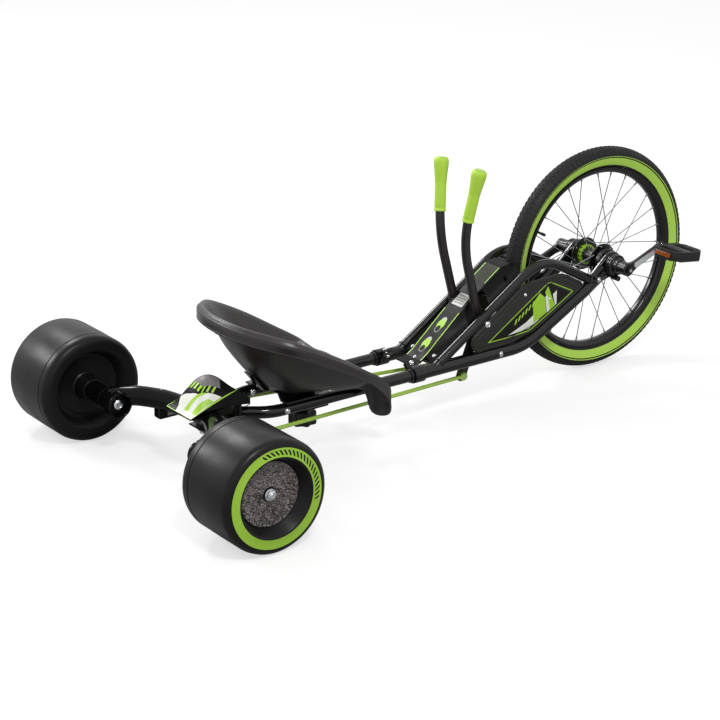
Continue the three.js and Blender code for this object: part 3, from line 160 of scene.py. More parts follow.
def wheel_radius(tree, place, middle):
    """How far a point lies from a wheel's axis, and how far it lies from the trike's middle plane."""
    shift = [-(middle[0] + REAR_AXLE_X) * MM, 0, -middle[2] * MM]
    centred = add(tree, "ShaderNodeMapping", None, {"Vector": place, "Location": shift})
    flat = vectors(tree, "MULTIPLY", centred, (1, 0, 1))
    radius = vectors(tree, "LENGTH", flat).outputs["Value"]
    apart = add(tree, "ShaderNodeSeparateXYZ", None, {0: centred})
    across = maths(tree, "ABSOLUTE", apart.outputs[1])
    return radius, across, apart


def within(tree, value, low_mm, high_mm):
    """One between two distances, zero elsewhere."""
    middle, half = (low_mm + high_mm) / 2 * MM, (high_mm - low_mm) / 2 * MM
    return maths(tree, "COMPARE", value, middle, half)


# Finishes

# Polyester powder coat baked on steel tube: deep gloss with a soft orange peel, drawn at 3 mm so it shows.
POWDER_COAT = simple_finish("powder_coat_black_gloss", "#0a0909", "#100f0f", (0.1, 0.17), (3, 0.06, 0.12), 60,
                            Specular_IOR_Level=0.45)
# The same coat on the axle as a shaded copy: a deeper black that gives back less of the room, painted shade
# for the darker look of the axle beam.
AXLE_COAT_PAINTED_SHADE = simple_finish("powder_coat_black_axle_painted_shade", "#080707", "#0d0c0c", (0.1, 0.17), (3, 0.06, 0.12), 60,
                          Specular_IOR_Level=0.14)
# Satin powder coat on the levers, a warm grey-black.
LEVER_COAT = simple_finish("powder_coat_satin_lever", "#1f1b1b", "#262222", (0.28, 0.38),
                           (2.4, 0.06, 0.15), 60, Specular_IOR_Level=0.5)
# Injection-moulded polypropylene of the side panels: satin black with an etched grain, drawn at 1.6 mm.
MOULDED_PANEL = simple_finish("moulded_polypropylene_panel", "#1d1c1b", "#252422", (0.36, 0.46),
                              (1.6, 0.1, 0.2), 50, Specular_IOR_Level=0.4)
# The same plastic with a duller face, on the cover and the pivot cover.
MOULDED_COVER = simple_finish("moulded_polypropylene_black", "#100f0f", "#171615", (0.34, 0.44),
                              (1.6, 0.1, 0.2), 50, Specular_IOR_Level=0.1)
# Blow-moulded polyethylene seat: waxy satin skin that greys a little where it is rubbed.
SEAT_SKIN = simple_finish("blow_moulded_polyethylene_seat", "#262223", "#312d2e", (0.28, 0.38),
                          (2.2, 0.1, 0.18), 70, Specular_IOR_Level=0.5)
# Anodised and lacquered alloy rim: black, glossier than the tube.
RIM_LACQUER = simple_finish("lacquered_alloy_rim", "#09090b", "#0f0f11", (0.14, 0.22), (3, 0.06, 0.12), 50,
                            Specular_IOR_Level=0.4)
# Drawn stainless wire: dull grey with lines from the die.
SPOKE_WIRE = simple_finish("drawn_stainless_wire", "#7f8284", "#a5a8aa", (0.28, 0.4), (1.2, 0.03, 0.2), 20,
                           Metallic=0.9)
# Bright zinc and chrome plate on fasteners: hard reflections, slightly wavy.
BRIGHT_PLATE = simple_finish("bright_plated_steel", "#c3c6c9", "#e2e4e6", (0.14, 0.26), (4, 0.05, 0.2), 12,
                             Metallic=1.0)
# Black oxide on hub, holders and freewheel: thin dark satin skin on turned steel.
BLACK_OXIDE = simple_finish("black_oxide_turned_steel", "#0d0d0f", "#17171a", (0.22, 0.36),
                            (1.5, 0.06, 0.3), 25, Specular_IOR_Level=0.5)
# Pale silver metal with fine lines on the outer face of each crank arm: painted reflection standing in for
# the bright sheen on the black arm's face.
PALE_FACE_PAINTED_REFLECTION = simple_finish("pale_metal_face_painted_reflection", "#cfd1d3", "#eceded", (0.32, 0.46),
                               (1.4, 0.05, 0.3), 18, Metallic=0.75)
# Glass-filled nylon of the pedals, knob and bushes: dull black with flow marks.
FILLED_NYLON = simple_finish("glass_filled_nylon_black", "#121213", "#1b1b1c", (0.42, 0.56),
                             (1.8, 0.12, 0.4), 30, Specular_IOR_Level=0.35)
# Soft thermoplastic rubber grips in lime: slightly translucent, faintly streaked.
LIME_RUBBER = simple_finish("lime_soft_rubber_grip", "#aed93a", "#bbe34c", (0.42, 0.55), (2.2, 0.1, 0.35), 25,
                            Subsurface_Weight=0.15, Subsurface_Radius=(0.004, 0.006, 0.001))
# Lime enamel sprayed on the tie rods.
LIME_ENAMEL = simple_finish("lime_sprayed_enamel", "#9dc643", "#abd153", (0.3, 0.42), (3, 0.06, 0.2), 30,
                            Coat_Weight=0.2, Coat_Roughness=0.2)
# Vinyl prints: thin calendered film, flatter than the plastic it lies on. The silver is a warm pale grey.
LIME_VINYL = simple_finish("lime_vinyl_print", "#9ed12c", "#abdd3c", (0.35, 0.45), (2, 0.03, 0.15), 30)
WHITE_VINYL = simple_finish("white_vinyl_print", "#e6eade", "#f4f6ee", (0.35, 0.45), (2, 0.03, 0.15), 30)
BLACK_VINYL = simple_finish("black_vinyl_print", "#191917", "#21201d", (0.36, 0.48), (2, 0.03, 0.15), 30,
                            Specular_IOR_Level=0.12)
GREY_VINYL = simple_finish("grey_vinyl_print", "#6a6868", "#7f7c7c", (0.35, 0.5), (2, 0.03, 0.2), 8)
SILVER_VINYL = simple_finish("silver_vinyl_print", "#b0afae", "#c8c7c6", (0.3, 0.42), (2, 0.03, 0.2), 12)


def woven_film():
    """Grey film with a fine printed cross weave, on the cover ahead of the levers."""
    material, tree, surface, place = new_finish("woven_grey_film", Specular_IOR_Level=0.2)
    waves = [add(tree, "ShaderNodeTexWave", {"bands_direction": way},
                 {"Vector": place, "Scale": 1 / (3 * 3.14 * MM), "Distortion": 0.6}) for way in ("Y", "X")]
    weave = maths(tree, "MULTIPLY", *[wave.outputs["Fac"] for wave in waves])
    dress(tree, surface, blended(tree, weave, "#2b2d26", "#5c5f52"), uneven(tree, place, 0.55, 0.7, 20),
          embossed(tree, weave, 0.3, 0.1))
    return material


def fine_lines(tree, value, spacing_mm):
    """A wave that runs up and down once in each spacing."""
    return maths(tree, "SINE", maths(tree, "MULTIPLY", value, 2 * math.pi / (spacing_mm * MM)))


def tyre_rubber():
    """Cured rubber with a broad lime band let into each sidewall and a fine lime line outside it."""
    material, tree, surface, place = new_finish("cured_tyre_rubber_lime_band", Specular_IOR_Level=0.3)
    radius, across, _ = wheel_radius(tree, place, HUB)
    band = maths(tree, "ADD", within(tree, radius, 213.6, 230.6), within(tree, radius, 233.3, 234.9))
    side = maths(tree, "GREATER_THAN", across, 9 * MM)
    lime = maths(tree, "MULTIPLY", band, side)
    black = mottled(tree, place, "#151414", "#201f1f", 30)
    green = mottled(tree, place, "#b2df54", "#bde763", 40)
    height = maths(tree, "MULTIPLY_ADD", band, 3.0, fine_lines(tree, radius, 4))
    dress(tree, surface, blended(tree, lime, black, green), uneven(tree, place, 0.5, 0.68, 30),
          embossed(tree, height, 0.25, 0.15))
    return material


def slick_wheel():
    """Rotationally moulded polyethylene: satin black, fine turning lines and a lime ring on the outer face.
    Short slanting black marks, a plain pattern, break the ring along one arc."""
    material, tree, surface, place = new_finish("rotomoulded_slick_wheel", Specular_IOR_Level=0.2)
    radius, across, apart = wheel_radius(tree, place, (0, 0, REAR_RADIUS))
    outside = maths(tree, "GREATER_THAN", across, (REAR_HUB_Y + REAR_WIDTH / 2 - 8) * MM)
    turn = maths(tree, "ARCTAN2", apart.outputs[2], apart.outputs[0])
    spacing = math.pi / 60
    marks = maths(tree, "PINGPONG", maths(tree, "MULTIPLY_ADD", radius, -9.0, turn), spacing)
    dashes = maths(tree, "LESS_THAN", marks, spacing / 2)
    dashes = maths(tree, "MULTIPLY", dashes, within(tree, radius, 85.5, 95.5))
    off_arc = maths(tree, "ABSOLUTE", maths(tree, "SUBTRACT", turn, 0.82))
    dashes = maths(tree, "MULTIPLY", dashes, maths(tree, "LESS_THAN", off_arc, 1.08))
    lime = maths(tree, "MULTIPLY", within(tree, radius, 81.5, 99.75), outside)
    kept = add(tree, "ShaderNodeMath", {"operation": "SUBTRACT", "use_clamp": True}, {0: lime, 1: dashes})
    black = mottled(tree, place, "#0f0e0f", "#161515", 60)
    green = mottled(tree, place, "#98c53c", "#a4cf49", 40)
    dress(tree, surface, blended(tree, kept, black, green), uneven(tree, place, 0.3, 0.4, 50),
          embossed(tree, fine_lines(tree, across, 5), 0.08, 0.1))
    return material


def printed_disc():
    """Grey disc printed with a plain net of dark lines round cells about 7 by 4 mm."""
    material, tree, surface, place = new_finish("printed_grey_disc", Specular_IOR_Level=0.45)
    _, _, apart = wheel_radius(tree, place, (0, 0, REAR_RADIUS))
    face = xyz(tree, apart.outputs[0], apart.outputs[2])
    tilted = add(tree, "ShaderNodeMapping", None, {"Vector": face, "Rotation": [0, 0, 0.25]})
    sway = noise(tree, tilted, 14, 1.0)
    pushed = vectors(tree, "MULTIPLY_ADD", sway.outputs["Color"], (4 * MM, 4 * MM, 0), tilted)
    long_cells = add(tree, "ShaderNodeMapping", None, {"Vector": pushed, "Scale": [1.0, 1.9, 1.0]})
    net = {"Vector": long_cells, "Scale": 1 / (7 * MM), "Randomness": 0.8}
    cells = add(tree, "ShaderNodeTexVoronoi", {"feature": "DISTANCE_TO_EDGE"}, net)
    line = add(tree, "ShaderNodeMapRange", None, {"Value": cells, "From Min": 0.05, "From Max": 0.13})
    shade = add(tree, "ShaderNodeTexVoronoi", None, net)
    level = add(tree, "ShaderNodeSeparateColor", None, {0: shade.outputs["Color"]})
    filling = blended(tree, level, "#665f5f", "#958b89")
    dress(tree, surface, blended(tree, line, "#1f1c1c", filling), uneven(tree, place, 0.35, 0.5, 15),
          embossed(tree, line, 0.15, 0.1))
    return material


def amber_prism():
    """Moulded amber acrylic with cube-corner prisms behind a smooth face; prisms drawn 3 mm apart."""
    material, tree, surface, place = new_finish("amber_acrylic_reflector", IOR=1.49, Roughness=0.12,
                                                Coat_Weight=0.6, Coat_Roughness=0.04)
    prisms = add(tree, "ShaderNodeTexVoronoi", {"distance": "CHEBYCHEV"},
                 {"Vector": place, "Scale": 1 / (3 * MM), "Randomness": 0.0})
    depth = prisms.outputs["Distance"]
    dress(tree, surface, blended(tree, depth, "#b8601c", "#5a2208"), None, embossed(tree, depth, 0.6, 0.5))
    return material


WOVEN_FILM = woven_film()
TYRE_RUBBER = tyre_rubber()
SLICK_WHEEL = slick_wheel()
PRINTED_DISC = printed_disc()
AMBER_PRISM = amber_prism()


# Shapes

def new_object(name, data):
    """An object that holds the data, linked to the scene."""
    made = bpy.data.objects.new(name, data)
    bpy.context.scene.collection.objects.link(made)
    return made


def evaluated(holder):
    """An object's shape with its modifiers applied, as a new mesh."""
    return bpy.data.meshes.new_from_object(holder.evaluated_get(bpy.context.evaluated_depsgraph_get()))


def new_mesh(bm):
    mesh = bpy.data.meshes.new("shape")
    bm.to_mesh(mesh)
    bm.free()
    return mesh


def new_skin(bm):
    """A mesh whose faces all look outwards."""
    bmesh.ops.recalc_face_normals(bm, faces=bm.faces)
    return new_mesh(bm)


def together(*meshes):
    """Several meshes as one."""
    bm = bmesh.new()
    for mesh in meshes:
        bm.from_mesh(mesh)
        bpy.data.meshes.remove(mesh)
    return new_mesh(bm)


def moved(mesh, matrix):
    mesh.transform(matrix)
    if matrix.determinant() < 0:
        mesh.flip_normals()
    return mesh


def on_side(mesh, side):
    """A shape drawn for the left, mirrored where it stands on the right."""
    return moved(mesh, Matrix.Diagonal((1, side, 1, 1)))


def facing(direction, place):
    """The matrix that turns +Y to a direction and moves to a place."""
    turn = Vector((0, 1, 0)).rotation_difference(Vector(direction)).to_matrix().to_4x4()
    return Matrix.Translation(place) @ turn


def turned(profile, turns=48, closed=True):
    """A profile of radius and height turned about Y. One that isn't closed starts and ends on the axis."""
    bm = bmesh.new()
    rings = []
    for radius, along in profile:
        if radius < 0.001:
            rings.append([bm.verts.new((0, along, 0))])
        else:
            rings.append([bm.verts.new((x, along, z)) for x, z in circle(0, 0, radius, turns)])
    pairs = list(zip(rings, rings[1:])) + ([(rings[-1], rings[0])] if closed else [])
    for one, two in pairs:
        for i in range(turns):
            j = (i + 1) % turns
            corners = [one[i % len(one)], one[j % len(one)], two[j % len(two)], two[i % len(two)]]
            unique = list(dict.fromkeys(corners))
            if len(unique) > 2:
                bm.faces.new(unique)
    return new_skin(bm)


def swept(points, radius, sides=28, squash=None):
    """A round bar along points, with closed ends; squash may reshape it by the share of its length."""
    bm = bmesh.new()
    last = len(points) - 1
    tangents = [(points[min(i + 1, last)] - points[max(i - 1, 0)]).normalized() for i in range(last + 1)]
    across = tangents[0].orthogonal().normalized()
    rings = []
    for i, (point, tangent) in enumerate(zip(points, tangents)):
        if i:
            across = (tangents[i - 1].rotation_difference(tangent) @ across).normalized()
        other = tangent.cross(across)
        ring = []
        for u, v in circle(0, 0, 1, sides):
            offset = (across * u + other * v) * radius
            if squash:
                offset = squash(i / last, offset)
            ring.append(bm.verts.new(point + offset))
        rings.append(ring)
    for one, two in zip(rings, rings[1:]):
        for s in range(sides):
            bm.faces.new((one[s], one[(s + 1) % sides], two[(s + 1) % sides], two[s]))
    bm.faces.new(rings[0][::-1])
    bm.faces.new(rings[-1])
    return new_skin(bm)


def bent(start, corner, end, steps):
    """Points on the curve that leaves start towards a corner and comes from it to end."""
    shares = [s / steps for s in range(steps + 1)]
    return [start * (1 - t) ** 2 + corner * 2 * t * (1 - t) + end * t * t for t in shares]


def rounded_path(corners, bends, steps=10):
    """Straight runs through corners, rounded at each inner one."""
    points = [corners[0]]
    for i, bend in enumerate(bends):
        corner = corners[i + 1]
        start = corner + (corners[i] - corner).normalized() * bend
        end = corner + (corners[i + 2] - corner).normalized() * bend
        points += bent(start, corner, end, steps)
    points.append(corners[-1])
    return points


def smooth_line(places, per, closed=False):
    """Points on a smooth line through places."""
    count = len(places)
    result = []
    for i in range(count if closed else count - 1):
        if closed:
            a, b, c, d = (places[(i + k) % count] for k in (-1, 0, 1, 2))
        else:
            b, c = places[i], places[i + 1]
            a = places[i - 1] if i else b * 2 - c
            d = places[i + 2] if i + 2 < count else c * 2 - b
        for s in range(per):
            t = s / per
            result.append((b * 2 + (c - a) * t + (a * 2 - b * 5 + c * 4 - d) * t * t
                           + (b * 3 - a - c * 3 + d) * t * t * t) / 2)
    return result if closed else result + [places[-1]]


def rod(start, end, radius, sides=24):
    return swept([Vector(start), Vector(end)], radius, sides)


def flat_plate(outlines, thickness, edge, matrix):
    """A plate with rounded edges in its own plane. The first outline is its edge, the others are holes."""
    curve = bpy.data.curves.new("plate", "CURVE")
    curve.dimensions = "2D"
    curve.fill_mode = "BOTH"
    curve.extrude = thickness / 2 - edge
    curve.bevel_depth = edge
    curve.bevel_resolution = 2
    curve.offset = -edge
    for outline in outlines:
        spline = curve.splines.new("POLY")
        spline.points.add(len(outline) - 1)
        for corner, (u, v) in zip(spline.points, outline):
            corner.co = (u, v, 0, 1)
        spline.use_cyclic_u = True
    holder = new_object("plate", curve)
    mesh = evaluated(holder)
    bpy.data.objects.remove(holder)
    bm = bmesh.new()
    bm.from_mesh(mesh)
    bpy.data.meshes.remove(mesh)
    bmesh.ops.remove_doubles(bm, verts=bm.verts, dist=0.0005)
    return moved(new_skin(bm), matrix)


def in_xz(y):
    """Places a plate drawn in X and Z at a distance across."""
    return Matrix(((1, 0, 0, 0), (0, 0, -1, y), (0, 1, 0, 0), (0, 0, 0, 1)))


def in_xy(z):
    return Matrix.Translation((0, 0, z))


def in_yz(x):
    return Matrix(((0, 0, 1, x), (1, 0, 0, 0), (0, 1, 0, 0), (0, 0, 0, 1)))


def arc(u, v, radius, first, step, count):
    """Points on an arc, from its first angle on in even steps, both in degrees."""
    angles = [math.radians(first + step * i) for i in range(count)]
    return [(u + radius * math.cos(a), v + radius * math.sin(a)) for a in angles]


def circle(u, v, radius, count=32):
    return arc(u, v, radius, 0, 360 / count, count)


def cushioned(outline, radius, steps=5):
    """An outline with its corners rounded."""
    result = []
    count = len(outline)
    for i in range(count):
        last, corner, after = (Vector(outline[(i + k) % count]) for k in (-1, 0, 1))
        reach = min(radius, (last - corner).length * 0.45, (after - corner).length * 0.45)
        start = corner + (last - corner).normalized() * reach
        end = corner + (after - corner).normalized() * reach
        result += [tuple(place) for place in bent(start, corner, end, steps)]
    return result


def softened(node, width):
    """A copy of a CAD node with its corners merged and its sharp edges rounded."""
    bm = bmesh.new()
    bm.from_mesh(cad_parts[node].data)
    bmesh.ops.remove_doubles(bm, verts=bm.verts, dist=0.00001)
    bmesh.ops.dissolve_limit(bm, angle_limit=math.radians(1.5), verts=bm.verts, edges=bm.edges)
    limit = math.radians(SHARP_ANGLE)
    edges = [e for e in bm.edges if len(e.link_faces) == 2 and e.calc_face_angle(0) > limit]
    bmesh.ops.bevel(bm, geom=edges, offset=width * MM, segments=3, profile=0.5, affect="EDGES",
                    clamp_overlap=True)
    bmesh.ops.triangulate(bm, faces=[f for f in bm.faces if len(f.verts) > 4])
    return moved(new_mesh(bm), TO_FRAME.inverted())


def finished(name, mesh, body, finish, stands_for=(), sharp=SHARP_ANGLE):
    """A mesh as a piece of the trike: placed, smoothed, painted, and riding on its body."""
    mesh.transform(TO_FRAME)
    mesh.materials.clear()
    mesh.materials.append(finish)
    mesh.name = name
    mesh.shade_smooth()
    mesh.set_sharp_from_angle(angle=math.radians(sharp))
    piece = new_object(name, mesh)
    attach(piece, body)
    if stands_for:
        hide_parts(*stands_for)
    return piece


def grown(tree, sizes, at=None):
    """What a geometry tree makes with these sizes, as a plain mesh; at holds the points that it works on."""
    mesh = bpy.data.meshes.new("points")
    if at:
        mesh.from_pydata([tuple(p) for p in at], [], [])
    holder = new_object("grown", mesh)
    modifier = holder.modifiers.new("grown", "NODES")
    modifier.node_group = tree
    for item in tree.interface.items_tree:
        if item.item_type == "SOCKET" and item.in_out == "INPUT" and item.name in sizes:
            modifier[item.identifier] = sizes[item.name]
    result = evaluated(holder)
    holder.modifiers.remove(modifier)
    bpy.data.objects.remove(holder)
    return result


def new_tree(name, floats=(), whole=(), triples=()):
    """An empty geometry tree with named inputs."""
    tree = bpy.data.node_groups.new(name, "GeometryNodeTree")
    sockets = [("Geometry", "Points", "INPUT")]
    for kind, labels in (("Float", floats), ("Int", whole), ("Vector", triples)):
        sockets += [(kind, label, "INPUT") for label in labels]
    for kind, label, way in sockets + [("Geometry", "Geometry", "OUTPUT")]:
        tree.interface.new_socket(label, in_out=way, socket_type="NodeSocket" + kind)
    return tree, add(tree, "NodeGroupInput").outputs


def close_tree(tree, geometry, finish):
    """Ends a tree in real faces with their finish."""
    real = add(tree, "GeometryNodeRealizeInstances", None, {0: geometry})
    coloured = add(tree, "GeometryNodeSetMaterial", None, {"Geometry": real, "Material": finish})
    add(tree, "NodeGroupOutput", None, {"Geometry": coloured})
    return tree


# Trees for what repeats

HALF_DIAGONAL = 0.7071  # from the middle of a unit square to its corner


def numbered_points(tree, count):
    """Points to be placed, and the number of each."""
    return add(tree, "GeometryNodePoints", None, {"Count": count}), add(tree, "GeometryNodeInputIndex")


def set_at(tree, points, place):
    return add(tree, "GeometryNodeSetPosition", None, {"Geometry": points, "Position": place})


def copies(tree, points, shape, **feeds):
    return add(tree, "GeometryNodeInstanceOnPoints", None, {"Points": points, "Instance": shape, **feeds})


def standing(tree, outward, axis, along):
    """The turn that stands a shape's Z outward, with its given axis along a line."""
    upright = add(tree, "FunctionNodeAlignRotationToVector", {"axis": "Z"}, {"Vector": outward})
    return add(tree, "FunctionNodeAlignRotationToVector", {"axis": axis, "pivot_axis": "Z"},
               {"Rotation": upright, "Vector": along})


def cone(tree, corners, top, bottom, depth, down, turn=0.0):
    """A cone or bar with its lower end at a distance down."""
    shape = add(tree, "GeometryNodeMeshCone", None,
                {"Vertices": corners, "Radius Top": top, "Radius Bottom": bottom, "Depth": depth})
    return add(tree, "GeometryNodeTransform", None,
               {"Geometry": shape, "Rotation": (0, 0, turn), "Translation": (0, 0, -down)})


def from_axis(tree, turn):
    """The direction away from the Y axis at a turn."""
    return xyz(tree, maths(tree, "COSINE", turn), 0, maths(tree, "SINE", turn))


def round_axis(tree, direction, radius, along):
    """The place at a radius from the Y axis and a distance along it."""
    return vectors(tree, "ADD", vectors(tree, "SCALE", direction, Scale=radius), xyz(tree, 0, along))


def tread_tree():
    """Rows of bevelled rubber blocks round a tyre's crown, each standing square to the carcass."""
    floats = ("Ring radius", "Section radius", "Span", "Length", "Width", "Height", "Slant")
    tree, given = new_tree("tyre_tread", floats, ("Rows", "Blocks round"))
    rows, round_count = given["Rows"], given["Blocks round"]
    points, index = numbered_points(tree, maths(tree, "MULTIPLY", rows, round_count))
    share = maths(tree, "DIVIDE", index, round_count)
    row = maths(tree, "FLOOR", share)
    odd = maths(tree, "MODULO", row, 2.0)
    step = maths(tree, "SUBTRACT", share, row)
    stagger = maths(tree, "MULTIPLY_ADD", maths(tree, "DIVIDE", odd, round_count), 0.5, step)
    turn = maths(tree, "MULTIPLY", stagger, 2 * math.pi)
    along = maths(tree, "DIVIDE", row, maths(tree, "SUBTRACT", rows, 1.0))
    lean = maths(tree, "MULTIPLY", maths(tree, "SUBTRACT", along, 0.5), given["Span"])
    radial = from_axis(tree, turn)
    side = xyz(tree, 0, maths(tree, "SINE", lean))
    normal = vectors(tree, "MULTIPLY_ADD", radial, maths(tree, "COSINE", lean), side)
    back = maths(tree, "MULTIPLY", maths(tree, "SINE", turn), -1.0)
    tangent = xyz(tree, back, 0, maths(tree, "COSINE", turn))
    place = vectors(tree, "ADD", vectors(tree, "SCALE", radial, Scale=given["Ring radius"]),
                    vectors(tree, "SCALE", normal, Scale=given["Section radius"]))
    block = cone(tree, 4, 0.56, HALF_DIAGONAL, 1.0, 1.0, math.pi / 4)
    blocks = copies(tree, set_at(tree, points, place), block, Rotation=standing(tree, normal, "X", tangent),
                    Scale=xyz(tree, given["Length"], given["Width"], given["Height"]))
    slant = maths(tree, "MULTIPLY", maths(tree, "MULTIPLY_ADD", odd, -2.0, 1.0), given["Slant"])
    slanted = add(tree, "GeometryNodeRotateInstances", None,
                  {"Instances": blocks, "Rotation": xyz(tree, 0, 0, slant), "Local Space": True})
    return close_tree(tree, slanted, TYRE_RUBBER)


def spoke_tree():
    """Spokes laced in leading and trailing pairs, their heads at the flange and their nipples in the rim."""
    floats = ("Flange radius", "Rim radius", "Flange side", "Rim side", "Lean", "Wire radius", "Shift", "Out")
    tree, given = new_tree("laced_spokes", floats, ("Count",))
    points, index = numbered_points(tree, given["Count"])
    part = maths(tree, "DIVIDE", maths(tree, "ADD", index, given["Shift"]), given["Count"])
    away = maths(tree, "MULTIPLY", part, 2 * math.pi)
    sign = maths(tree, "MULTIPLY_ADD", maths(tree, "MODULO", index, 2.0), 2.0, -1.0)
    leaning = maths(tree, "SUBTRACT", away, maths(tree, "MULTIPLY", sign, given["Lean"]))
    step_out = maths(tree, "MULTIPLY_ADD", sign, given["Out"], given["Flange side"])
    start = round_axis(tree, from_axis(tree, leaning), given["Flange radius"], step_out)
    end = round_axis(tree, from_axis(tree, away), given["Rim radius"], given["Rim side"])
    reach = vectors(tree, "SUBTRACT", end, start)
    length = vectors(tree, "LENGTH", reach).outputs["Value"]
    turn = add(tree, "FunctionNodeAlignRotationToVector", {"axis": "Z"}, {"Vector": reach})
    at_start, at_end = set_at(tree, points, start), set_at(tree, points, end)
    wire = add(tree, "GeometryNodeMeshCylinder", None, {"Vertices": 8, "Radius": 1.0, "Depth": 1.0})
    from_end = add(tree, "GeometryNodeTransform", None,
                   {"Geometry": wire.outputs["Mesh"], "Translation": (0, 0, 0.5)})
    wires = copies(tree, at_start, from_end, Rotation=turn,
                   Scale=xyz(tree, given["Wire radius"], given["Wire radius"], length))
    nipples = copies(tree, at_end, cone(tree, 8, 2.3, 1.6, 11.0, 9.0), Rotation=turn)
    head = add(tree, "GeometryNodeMeshUVSphere", None, {"Segments": 10, "Rings": 6, "Radius": 2.1})
    heads = copies(tree, at_start, head)
    everything = add(tree, "GeometryNodeJoinGeometry")
    for made in (heads, nipples, wires):
        tree.links.new(made.outputs[0], everything.inputs[0])
    return close_tree(tree, everything, SPOKE_WIRE)


def ring_tree():
    """Bevelled bars set round the Y axis at one radius: teeth, ribs and notches."""
    tree, given = new_tree("bars_round", ("Radius", "Along", "Taper"), ("Count",), ("Size",))
    points, index = numbered_points(tree, given["Count"])
    turn = maths(tree, "MULTIPLY", maths(tree, "DIVIDE", index, given["Count"]), 2 * math.pi)
    radial = from_axis(tree, turn)
    place = round_axis(tree, radial, given["Radius"], given["Along"])
    top = maths(tree, "MULTIPLY", given["Taper"], HALF_DIAGONAL)
    bar = cone(tree, 4, top, HALF_DIAGONAL, 1.0, 1.0, math.pi / 4)
    bars = copies(tree, set_at(tree, points, place), bar, Rotation=standing(tree, radial, "Y", (0, 1, 0)),
                  Scale=given["Size"])
    return close_tree(tree, bars, BLACK_OXIDE)


def stud_tree():
    """A small pointed stud or a flat-topped dome at each given point, turned and sized alike."""
    tree, given = new_tree("studs", ("Taper",), ("Corners",), ("Size", "Turn"))
    points = add(tree, "GeometryNodeMeshToPoints", None, {"Mesh": given["Points"]})
    top = maths(tree, "MULTIPLY", given["Taper"], 0.5)
    studs = copies(tree, points, cone(tree, given["Corners"], top, 0.5, 1.0, 0.5), Rotation=given["Turn"],
                   Scale=given["Size"])
    return close_tree(tree, studs, BRIGHT_PLATE)


TREAD = tread_tree()
SPOKES = spoke_tree()
BARS_ROUND = ring_tree()
STUDS = stud_tree()


# Fasteners

def dome_bolt(place, direction, radius, height, washer=0.0):
    """A domed head with a socket, sitting on its washer, seen from the given direction."""
    dome = [(radius * out, height * up) for out, up in
            ((0, 0.55), (0.38, 0.55), (0.4, 0.97), (0.62, 0.9), (0.85, 0.6), (0.97, 0.28))]
    shape = turned(dome + [(radius, 0.4), (radius, 0), (0, 0)], 32, False)
    if washer:
        flat = [(0, -1.2), (washer, -1.2), (washer, -0.2), (washer - 0.3, 0), (0, 0)]
        shape = together(shape, turned(flat, 32, False))
    return moved(shape, facing(direction, place))


def hex_nut(place, direction, radius, height, stud=0.0, reach=0.0):
    """A chamfered hexagon nut on its flange, with the end of its stud standing out."""
    section = ((0, 0), (0.93, 0), (1, 0.1), (1, 0.86), (0.84, 1), (0, 1))
    nut = [(radius * out, height * up) for out, up in section]
    flange = [(0, -0.01), (radius * 1.12, -0.01), (radius * 1.12, 1.2), (0, 1.25)]
    parts = [turned(nut, 6, False), turned(flange, 32, False)]
    if stud:
        tip = height + reach
        end = [(0, height * 0.5), (stud, height * 0.5), (stud, tip - 1), (stud - 1, tip), (0, tip)]
        parts.append(turned(end, 24, False))
    return moved(together(*parts), facing(direction, place))


# Side frames

KNEE = Vector((886, 0, FRAME_Z))
SLOPE = (HUB - KNEE).normalized()
LOOP_FOOT = Vector((636, 0, FRAME_Z))
LOOP_TOP = Vector((931, 0, 310))
LOOP_END = KNEE + (HUB - KNEE) * 0.78
LOOP_RISE = (LOOP_TOP.z - LOOP_FOOT.z) / (LOOP_TOP.x - LOOP_FOOT.x)
PIVOT = Vector((777, 0, 190))
PANEL_Y = 69  # the middle of the side panel's plate
PANEL_FACE = 71


def at_y(point, y):
    return Vector((point.x, y, point.z))


def even(points, step):
    """The same line with points at even steps."""
    result = [points[0]]
    for start, end in zip(points, points[1:]):
        count = max(1, round((end - start).length / step))
        result.extend(start.lerp(end, (i + 1) / count) for i in range(count))
    return result


def weld(place, direction, radius, bead=2.0):
    """A rounded bead laid round a tube where it meets another."""
    return moved(turned(circle(radius, 0, bead, 10), 32), facing(direction, place))


